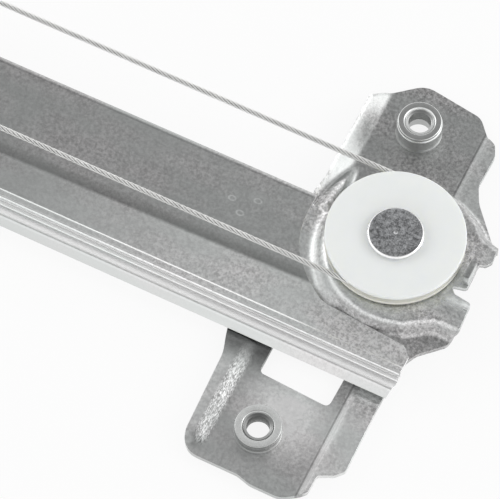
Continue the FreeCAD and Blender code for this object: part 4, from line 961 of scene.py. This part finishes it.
def addKeeperTab(sheet):
    # a narrow tongue turned up beside the wheel's rim keeps the cable in its groove
    low = Vector(bracket["tabLow"])
    high = Vector(bracket["tabHigh"])
    place = Matrix.Translation((low + high) / 2) @ Matrix.Diagonal((*(high - low), 1))
    made = bmesh.ops.create_cube(sheet, size=1, matrix=place)
    edges = list({edge for vert in made["verts"] for edge in vert.link_edges})
    bmesh.ops.bevel(sheet, geom=edges, offset=bracket["tabEdge"], segments=2, profile=0.5, affect="EDGES",
                    material=-1)


for word, node, spacing in (("upper", "upper_bracket", bracket["spacing"][0]),
                            ("lower", "lower_bracket", bracket["spacing"][1])):
    plate = pressedBracket(spacing / 2, -spacing / 2)
    if word == "lower":
        turned = Matrix.Translation((2 * middleX, 0, 0)) @ Matrix.Scale(-1, 4, Vector((1, 0, 0)))
        bmesh.ops.transform(plate, matrix=turned, verts=plate.verts)
        bmesh.ops.reverse_faces(plate, faces=plate.faces)
    keepPiece(word + "BracketSheet", plate, bracketSteel, "frame", "zinc_sheet", node)

print("guide rail")

rail = {
    "gauge": 1.5,
    "lowStep": 0.6,             # the web's lower strip lies so much deeper
    "leastBend": 0.15,
    "cell": 0.7,                # along the rail, near its ends
    "longCell": 4.0,            # along the rail, between them
    "fineReach": 90.0,
    "rowStep": 0.6,
    "bendSteps": 4,
    "cutRadius": 27.7,          # round the wheel's platform
    "cutKnee": 11.0,            # along the rail, from the wheel's axis to the arc's end
    "endBreak": 0.4,
    "slant": 0.0232,            # the web's step comes nearer the middle towards the rail's ends
    "slantMiddle": 62.0,        # from the wheel's axis to where it has its drawn place
    "slantReach": (-70, 62),
    "slantAcross": (-16, -10, -5, 2),   # between the inner two the slant is whole
}
railWeb = bracket["seat"] + rail["gauge"]
railLow = railWeb - rail["lowStep"]
railSide = [
    (19.1, 3.6, 0), (19.1, railWeb, 1.6), (-6.0, railWeb, 12), (-8.9, railLow, 1), (-20.2, railLow, 0.3),
    (-20.7, railLow + 0.25, 0.2), (-22.0, railLow + 0.27, 0.2), (-22.8, railWeb, 0.9), (-23.3, 3.8, 1.0),
    (-26.6, 5.0, 0.7), (-29.1, 2.7, 0),
]
railEnd = [(-29.1, 28.2), (-25.2, 29.2), (-16.6, 29.4), (-14.3, 27.0)]   # (y, x) of the cut past the arc


def shifted(side, distance):
    # the side's corners moved along their normals, as a bent sheet's other face
    corners = [np.array(corner[:2], float) for corner in side]
    normals = []
    for first, second in zip(corners, corners[1:]):
        along = (second - first) / np.linalg.norm(second - first)
        normals.append(np.array((along[1], -along[0])))
    moved = []
    for index, corner in enumerate(corners):
        near = normals[max(index - 1, 0)]
        far = normals[min(index, len(normals) - 1)]
        moved.append(corner + (near + far) / (1 + near @ far) * distance)
    return moved


def bentSide(side, distance, rowCounts):
    # points along one face of the bent sheet, as many on the one face as on the other
    corners = shifted(side, distance)
    tangents = [(b - a) / np.linalg.norm(b - a) for a, b in zip(corners, corners[1:])]
    ends = []
    for index in range(1, len(corners) - 1):
        before, after = tangents[index - 1], tangents[index]
        turn = before[0] * after[1] - before[1] * after[0]
        angle = math.acos(max(-1.0, min(1.0, float(before @ after))))
        radius = max(rail["leastBend"], side[index][2] + (distance if turn > 0 else -distance))
        reach = radius * math.tan(angle / 2)
        ends.append((corners[index] - before * reach, corners[index], corners[index] + after * reach))
    points = []
    here = corners[0]
    for number, rows in enumerate(rowCounts):
        there = ends[number][0] if number < len(ends) else corners[-1]
        for row in range(rows):
            points.append(here + (there - here) * row / rows)
        if number < len(ends):
            first, knee, last = ends[number]
            for step in range(rail["bendSteps"]):
                share = step / rail["bendSteps"]
                points.append(first * (1 - share) ** 2 + knee * 2 * share * (1 - share) + last * share ** 2)
            here = last
    points.append(corners[-1])
    return np.array(points)


def railReach(y):
    # where the rail's upper end is cut, at each distance across it
    arc = pulleyPlace.x - np.sqrt(np.maximum(rail["cutRadius"] ** 2 - (y - pulleyPlace.y) ** 2, 0))
    arc = np.where(y > pulleyPlace.y, pulleyPlace.x - rail["cutRadius"], arc)
    kneeY = pulleyPlace.y - math.sqrt(rail["cutRadius"] ** 2 - rail["cutKnee"] ** 2)
    ys = [spot[0] for spot in railEnd] + [kneeY]
    xs = [spot[1] for spot in railEnd] + [pulleyPlace.x - rail["cutKnee"]]
    return np.where(y > kneeY, arc, np.interp(y, ys, xs))


def makeRail():
    lengths = [math.dist(first[:2], second[:2]) for first, second in zip(railSide, railSide[1:])]
    rowCounts = [max(1, round(length / rail["rowStep"])) for length in lengths]
    outer = bentSide(railSide, 0.0, rowCounts)
    inner = bentSide(railSide, -rail["gauge"], rowCounts)
    half = pulleyPlace.x - middleX
    fineStart = half - rail["fineReach"]
    longColumns = np.linspace(0, fineStart, round(fineStart / rail["longCell"]), endpoint=False)
    fineShares = np.linspace(0, 1, round(rail["fineReach"] / rail["cell"]) + 1)
    columns = len(longColumns) + len(fineShares)
    sheet = bmesh.new()
    bmesh.ops.create_grid(sheet, x_segments=2 * columns - 2, y_segments=len(outer) - 1, size=0.5)
    column = sheet.verts.layers.int.new("column")
    row = sheet.verts.layers.int.new("row")
    for vert in sheet.verts:
        vert[column] = round((vert.co.x + 0.5) * (2 * columns - 2)) - (columns - 1)
        vert[row] = round((0.5 - vert.co.y) * (len(outer) - 1))

    def lay(verts, side):
        reach = railReach(side[:, 0]) - middleX
        for vert in verts:
            number = abs(vert[column])
            if number < len(longColumns):
                along = longColumns[number]
            else:
                share = fineShares[number - len(longColumns)]
                along = fineStart + share * (reach[vert[row]] - fineStart)
            vert.co.x = middleX + math.copysign(along, vert[column])
            y, z = side[vert[row]]
            slant = rail["slant"] * np.clip(along - half + rail["slantMiddle"], *rail["slantReach"])
            vert.co.y = y + slant * np.interp(y, rail["slantAcross"], (0, 1, 1, 0))
            vert.co.z = z

    lay(sheet.verts, outer)
    grown = bmesh.ops.extrude_face_region(sheet, geom=list(sheet.faces), use_keep_orig=True)
    lay([item for item in grown["geom"] if isinstance(item, bmesh.types.BMVert)], inner)
    bmesh.ops.recalc_face_normals(sheet, faces=sheet.faces)
    breakRim(sheet, rail["endBreak"])
    print("rail faces", len(sheet.faces))
    return keepPiece("railSheet", sheet, railSteel, "frame", "zinc_sheet", "guide_rail")


makeRail()

print("turned pieces")


def roundedProfile(corners, steps=4):
    # an open profile of (radius, level, rounding) corners
    points = []
    for index, (x, y, radius) in enumerate(corners):
        here = np.array((x, y), float)
        if index in (0, len(corners) - 1) or radius == 0:
            points.append(here)
            continue
        before = np.array(corners[index - 1][:2], float) - here
        after = np.array(corners[index + 1][:2], float) - here
        reach = min(radius, 0.49 * np.linalg.norm(before), 0.49 * np.linalg.norm(after))
        first = here + before / np.linalg.norm(before) * reach
        last = here + after / np.linalg.norm(after) * reach
        for step in range(steps + 1):
            share = step / steps
            points.append(first * (1 - share) ** 2 + here * 2 * share * (1 - share) + last * share ** 2)
    return points


def turnedPiece(corners, place, steps=96, rounding=4):
    # a profile spun round an upright axis
    shape = bmesh.new()
    verts = [shape.verts.new((radius, 0, level)) for radius, level in roundedProfile(corners, rounding)]
    edges = [shape.edges.new(pair) for pair in zip(verts, verts[1:])]
    bmesh.ops.spin(shape, geom=verts + edges, cent=(0, 0, 0), axis=(0, 0, 1), angle=2 * math.pi,
                   steps=steps, use_merge=True)
    bmesh.ops.remove_doubles(shape, verts=shape.verts, dist=0.0005)
    bmesh.ops.recalc_face_normals(shape, faces=shape.faces)
    bmesh.ops.translate(shape, vec=(place.x, place.y, 0), verts=shape.verts)
    return shape


def addShape(shape, other):
    # joins one bmesh to another
    mesh = bpy.data.meshes.new("part")
    other.to_mesh(mesh)
    other.free()
    shape.from_mesh(mesh)
    bpy.data.meshes.remove(mesh)


wheel = {
    "radius": 20.5,
    "rimEdge": 0.3,
    "groove": 17.55,
    "grooveHalf": 0.88,
    "grooveMouth": 1.02,
    "dish": 9.6,
    "dishEdge": 13.4,
    "dishDepth": 0.4,
    "bore": 5.06,
}


def makeWheel(word):
    low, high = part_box(word + "_pulley")
    low, high = low / mm, high / mm
    place = (low + high) / 2
    level = place.z
    rim = wheel["radius"]
    edge = wheel["rimEdge"]
    shape = turnedPiece([
        (wheel["bore"], low.z, 0), (rim - edge, low.z, 0.25), (rim, low.z + edge, 0.3),
        (rim, level - wheel["grooveMouth"], 0.15), (wheel["groove"], level - wheel["grooveHalf"], 0.5),
        (wheel["groove"], level + wheel["grooveHalf"], 0.5), (rim, level + wheel["grooveMouth"], 0.15),
        (rim, high.z - 0.25, 0.25), (rim - edge, high.z, 0.25),
        (wheel["dishEdge"], high.z, 1.9), (wheel["dish"], high.z - wheel["dishDepth"], 1.6),
        (wheel["bore"], high.z - wheel["dishDepth"], 0), (wheel["bore"], low.z, 0),
    ], place)
    keepPiece(word + "Wheel", shape, whiteNylon, word + "_wheel", "white_nylon", word + "_pulley")


pin = {
    "head": 8.4,
    "headHeight": 1.35,
    "chamfer": 0.6,
    "dimple": 0.7,
    "dimpleDepth": 0.18,
    "shank": 5.0,
    "tail": 4.0,
    "clench": 6.2,
    "clenchEnd": 4.6,
}


def makePin(word):
    low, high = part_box(word + "_pulley_pin")
    low, high = low / mm, high / mm
    place = (low + high) / 2
    under = high.z - pin["headHeight"]
    platform = bracket["platform"]
    back = platform - bracket["gauge"]
    shape = turnedPiece([
        (0, high.z - pin["dimpleDepth"], 0), (pin["dimple"] * 0.5, high.z - pin["dimpleDepth"] * 0.7, 0.2),
        (pin["dimple"], high.z, 0.2), (pin["head"] - pin["chamfer"], high.z, 0.12),
        (pin["head"] - 0.08, high.z - pin["chamfer"] * 0.85, 0.2), (pin["head"], under + 0.2, 0.1),
        (pin["head"] - 0.2, under, 0), (pin["shank"], under, 0), (pin["shank"], platform, 0),
        (pin["tail"], platform, 0), (pin["tail"], back, 0), (pin["clench"], back, 0.1),
        (pin["clench"] - 0.2, low.z + 0.5, 0.3), (pin["clenchEnd"], low.z, 0.4), (0, low.z, 0),
    ], place)
    keepPiece(word + "PinTurned", shape, pinSteel, "frame", "rivet_steel", word + "_pulley_pin")


for word in ("upper", "lower"):
    makeWheel(word)
    makePin(word)

nut = {
    "radius": 6.85,
    "foot": 6.95,
    "waist": 6.73,
    "waistTop": 2.6,                # levels are counted down from the nut's top
    "bandTop": 1.0,
    "tallRim": 6.5,
    "shortRim": 6.75,
    "edgeBreak": 0.16,
    "countersink": 4.5,
    "bore": 3.35,
    "threadStart": 0.95,
    "threadEnd": 4.4,
    "threadDepth": 0.32,
    "pitch": 1.0,
    "relief": 3.75,
    "pilot": 4.1,
}


def makeNut(place, top, rim):
    base = bracket["gauge"]
    edge = nut["edgeBreak"]
    corners = [(nut["pilot"], 0, 0), (nut["pilot"], base, 0), (nut["foot"] + 0.05, base, 0),
               (nut["foot"], base + 0.5, 0.3), (nut["waist"], base + 0.9, 0.2),
               (nut["waist"], top - nut["waistTop"], 0.2), (nut["radius"], top - nut["waistTop"] + 0.3, 0.15),
               (nut["radius"], top - nut["bandTop"] - 0.3, 0.2), (rim, top - nut["bandTop"], 0.2),
               (rim, top - edge, 0.06), (rim - edge, top, 0.06), (nut["countersink"] + 0.25, top, 0.1),
               (nut["countersink"], top - 0.25, 0.1), (nut["countersink"] - 0.3, top - 0.7, 0.1)]
    level = top - nut["threadStart"]
    while level > top - nut["threadEnd"]:
        corners.append((nut["bore"], level, 0.08))
        corners.append((nut["bore"] + nut["threadDepth"], level - nut["pitch"] / 2, 0.08))
        level -= nut["pitch"]
    corners += [(nut["bore"], level, 0.08), (nut["relief"], level - 0.4, 0.08), (nut["relief"], 0, 0),
                (nut["pilot"], 0, 0)]
    return turnedPiece(corners, place, 72, 2)


def makeNuts(name, node):
    low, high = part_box(node)
    low, high = low / mm, high / mm
    shape = bmesh.new()
    half = 1 if high.y > 0 else -1
    rim = nut["tallRim" if half > 0 else "shortRim"]
    upperY, lowerY = (half * spacing / 2 for spacing in bracket["spacing"])
    places = [(low.x + nut["radius"], lowerY), (0.0, upperY)]
    for x, y in places:
        addShape(shape, makeNut(Vector((x, y, 0)), high.z, rim))
    # the bores are marked for the material's painted shade
    bore = shape.verts.layers.float.new("boreShade")
    for vert in shape.verts:
        reach = min(math.dist(vert.co[:2], spot) for spot in places)
        vert[bore] = 1.0 if reach < nut["countersink"] - 0.1 else 0.0
    keepPiece(name, shape, nutSteel, "frame", "zinc_nut", node)


makeNuts("tallNutRings", "tall_weld_nuts")
makeNuts("shortNutRings", "short_weld_nuts")

print("wire ropes")

rope = {
    "radius": 0.84,
    "strandRadius": 0.28,
    "coreRadius": 0.22,
    "strands": 6,
    "lay": 11.0,                # along the rope for one turn of a strand
    "step": 0.8,
    "wheelLine": 18.6,          # the rope's line round a wheel
    "level": 14.8,              # along the rail and round a wheel
    "drumLine": 20.25,
    "drumPitch": 1.6,
    "liftWinding": (15.8, 20.2),        # levels of the first and the last turn on the drum
    "loweringWinding": (13.8, 9.4),
}


def ropeLine(wheelPlace, innerEnd, turn, drumLevel, drumEnd):
    # the rope's middle line: in along the rail, round the wheel, out to the drum and round it
    innerY = wheelPlace.y - rope["wheelLine"]
    outerY = wheelPlace.y + rope["wheelLine"]
    line = []
    inRun = abs(wheelPlace.x - innerEnd)
    for distance in np.arange(0, inRun, rope["step"]):
        line.append((innerEnd + turn * distance, innerY, rope["level"]))
    bend = math.pi * rope["wheelLine"]
    for distance in np.arange(0, bend, rope["step"]):
        angle = distance / rope["wheelLine"] - math.pi / 2
        line.append((wheelPlace.x + turn * rope["wheelLine"] * math.cos(angle),
                     wheelPlace.y + rope["wheelLine"] * math.sin(angle), rope["level"]))
    outRun = abs(drumPlace.x - wheelPlace.x)
    for distance in np.arange(0, outRun, rope["step"]):
        share = distance / outRun
        level = rope["level"] + (drumLevel - rope["level"]) * share
        line.append((wheelPlace.x - turn * distance, outerY, level))
    turns = abs(drumEnd - drumLevel) / rope["drumPitch"]
    winding = turns * 2 * math.pi * rope["drumLine"]
    for distance in np.arange(0, winding, rope["step"] * 1.5):
        angle = -math.pi / 2 - turn * distance / rope["drumLine"]
        line.append((drumPlace.x + rope["drumLine"] * math.cos(angle),
                     drumPlace.y + rope["drumLine"] * math.sin(angle),
                     drumLevel + (drumEnd - drumLevel) * distance / winding))
    return np.array(line)


def markGaps(mesh, line):
    # each point's distance from the rope's middle line, as a share of its radius, for the painted shade in
    # the gaps
    tree = KDTree(len(line))
    for index, spot in enumerate(line):
        tree.insert(spot, index)
    tree.balance()
    height = mesh.attributes.new("strandHeight", "FLOAT", "POINT")
    for vert in mesh.vertices:
        spot = vert.co / mm
        index = tree.find(spot)[1]
        along = Vector(line[min(index + 1, len(line) - 1)] - line[max(index - 1, 0)]).normalized()
        offset = spot - Vector(line[index])
        height.data[vert.index].value = (offset - along * offset.dot(along)).length / rope["radius"]


def makeRope(name, line, node):
    along = np.gradient(line, axis=0)
    along /= np.linalg.norm(along, axis=1)[:, None]
    side = np.cross(along, (0, 0, 1))
    side /= np.linalg.norm(side, axis=1)[:, None]
    above = np.cross(side, along)
    travelled = np.concatenate([[0], np.cumsum(np.linalg.norm(np.diff(line, axis=0), axis=1))])
    curve = bpy.data.curves.new(name, "CURVE")
    curve.dimensions = "3D"
    curve.bevel_depth = rope["strandRadius"] * mm
    curve.bevel_resolution = 1
    curve.use_fill_caps = True
    for strand in range(rope["strands"] + 1):
        spin = 2 * math.pi * (strand / rope["strands"] - travelled / rope["lay"])
        reach = rope["radius"] - rope["strandRadius"] if strand < rope["strands"] else 0.0
        spots = line + reach * (np.cos(spin)[:, None] * side + np.sin(spin)[:, None] * above)
        spline = curve.splines.new("POLY")
        spline.points.add(len(spots) - 1)
        spline.points.foreach_set("co", np.append(spots * mm, np.ones((len(spots), 1)), 1).ravel())
        spline.use_smooth = True
        if strand == rope["strands"]:
            core = rope["coreRadius"] / rope["strandRadius"]
            spline.points.foreach_set("radius", np.full(len(spots), core))
    holder = bpy.data.objects.new(name, curve)
    mesh = bpy.data.meshes.new_from_object(holder)
    bpy.data.objects.remove(holder)
    markGaps(mesh, line)
    return keepMesh(name, mesh, ropeMetal, "frame", "wire_rope", node, sharpFrom=180)


carrierX = middle("carrier_body").x
liftLine = ropeLine(pulleyPlace, carrierX, 1, *rope["liftWinding"])
loweringLine = ropeLine(lowerPulleyPlace, carrierX, -1, *rope["loweringWinding"])
makeRope("liftRope", liftLine, "lift_cable")
makeRope("loweringRope", loweringLine, "lowering_cable")

print("floor and light")

stage = {"floorLevel": -0.0004, "floorSize": 6.0, "floorTone": 0.93, "paperGlow": 0.88}
light = {
    "glowSide": (0.80, 0.48, 0.36),     # towards the bright wall on the right
    "glow": 0.7,
    "glowSpread": (0.72, 0.97),
    "height": (0.30, 0.85),
    "ring": 1.4,                        # the walls above the floor
    "top": 0.42,
    "cameraSide": (0.199, -0.403, 0.893),
    "shade": 0.4,                       # what stands round the camera dims the light from there
    "shadeSpread": (0.78, 0.96),
    "wall": 1.0,
    "wallHeight": (0.08, 0.20),
}
softboxes = [
    {"name": "leftBox", "place": (-1.20, 0.10, 0.50), "size": 0.6, "power": 2.5},
    {"name": "rightBox", "place": (0.90, 0.50, 0.35), "size": 0.5, "power": 1.5},
]


def makeStage(values):
    # pale paper, which the camera and the metal see nearly white, with the object's shadow kept
    material, graph, shader = newMaterial("paper", {"Roughness": 0.8, "Specular IOR Level": 0.2})
    shader.inputs["Base Color"].default_value = grey(values["floorTone"])
    rays = graph.add("ShaderNodeLightPath")
    seen = rays + Shade(graph, rays.socket.node.outputs["Is Glossy Ray"])
    seen = seen + Shade(graph, rays.socket.node.outputs["Is Transmission Ray"])
    glow = graph.add("ShaderNodeEmission", None, {"Color": grey(1.0), "Strength": 1.0})
    factor = graph.remap(seen, 0.0, 1.0, 0.0, values["paperGlow"])
    lit = Shade(graph, shader.outputs[0])
    mixed = graph.add("ShaderNodeMixShader", None, {0: factor, 1: lit, 2: glow})
    output = graph.tree.nodes["Material Output"]
    graph.tree.links.new(mixed.socket, output.inputs["Surface"])
    mesh = bpy.data.meshes.new("floor")
    sheet = bmesh.new()
    bmesh.ops.create_grid(sheet, x_segments=1, y_segments=1, size=values["floorSize"] / 2)
    bmesh.ops.translate(sheet, vec=(0, 0, values["floorLevel"]), verts=sheet.verts)
    sheet.to_mesh(mesh)
    sheet.free()
    mesh.materials.append(material)
    floor = bpy.data.objects.new("floor", mesh)
    bpy.context.scene.collection.objects.link(floor)


def makeLight(values):
    # a pale room: white near the floor, greyer overhead, with a bright wall on the right
    world = bpy.data.worlds.new("world")
    world.use_nodes = True
    bpy.context.scene.world = world
    graph = Graph(world.node_tree)
    spot = graph.add("ShaderNodeTexCoord")
    height = graph.part(spot, 2)
    glow = graph.remap(graph.facing(spot, values["glowSide"]), *values["glowSpread"]) * values["glow"]
    shade = graph.remap(graph.facing(spot, values["cameraSide"]), *values["shadeSpread"]) * values["shade"]
    level = (graph.remap(height, *values["height"], values["ring"], values["top"]) + glow) * (1 - shade)
    low = graph.remap(height, *values["wallHeight"], 1.0, 0.0)
    level = level * (1 - low) + values["wall"] * low
    background = world.node_tree.nodes["Background"]
    background.inputs["Color"].default_value = grey(1.0)
    graph.tree.links.new(level.socket, background.inputs["Strength"])
    for box in softboxes:
        data = bpy.data.lights.new(box["name"], "AREA")
        data.energy = box["power"]
        data.size = box["size"]
        lamp = bpy.data.objects.new(box["name"], data)
        place = Vector(box["place"])
        turned = (-place).to_track_quat("-Z", "Y").to_matrix().to_4x4()
        lamp.matrix_world = Matrix.Translation(place) @ turned
        bpy.context.scene.collection.objects.link(lamp)


makeStage(stage)
makeLight(light)
bpy.context.scene.view_settings.view_transform = "Standard"
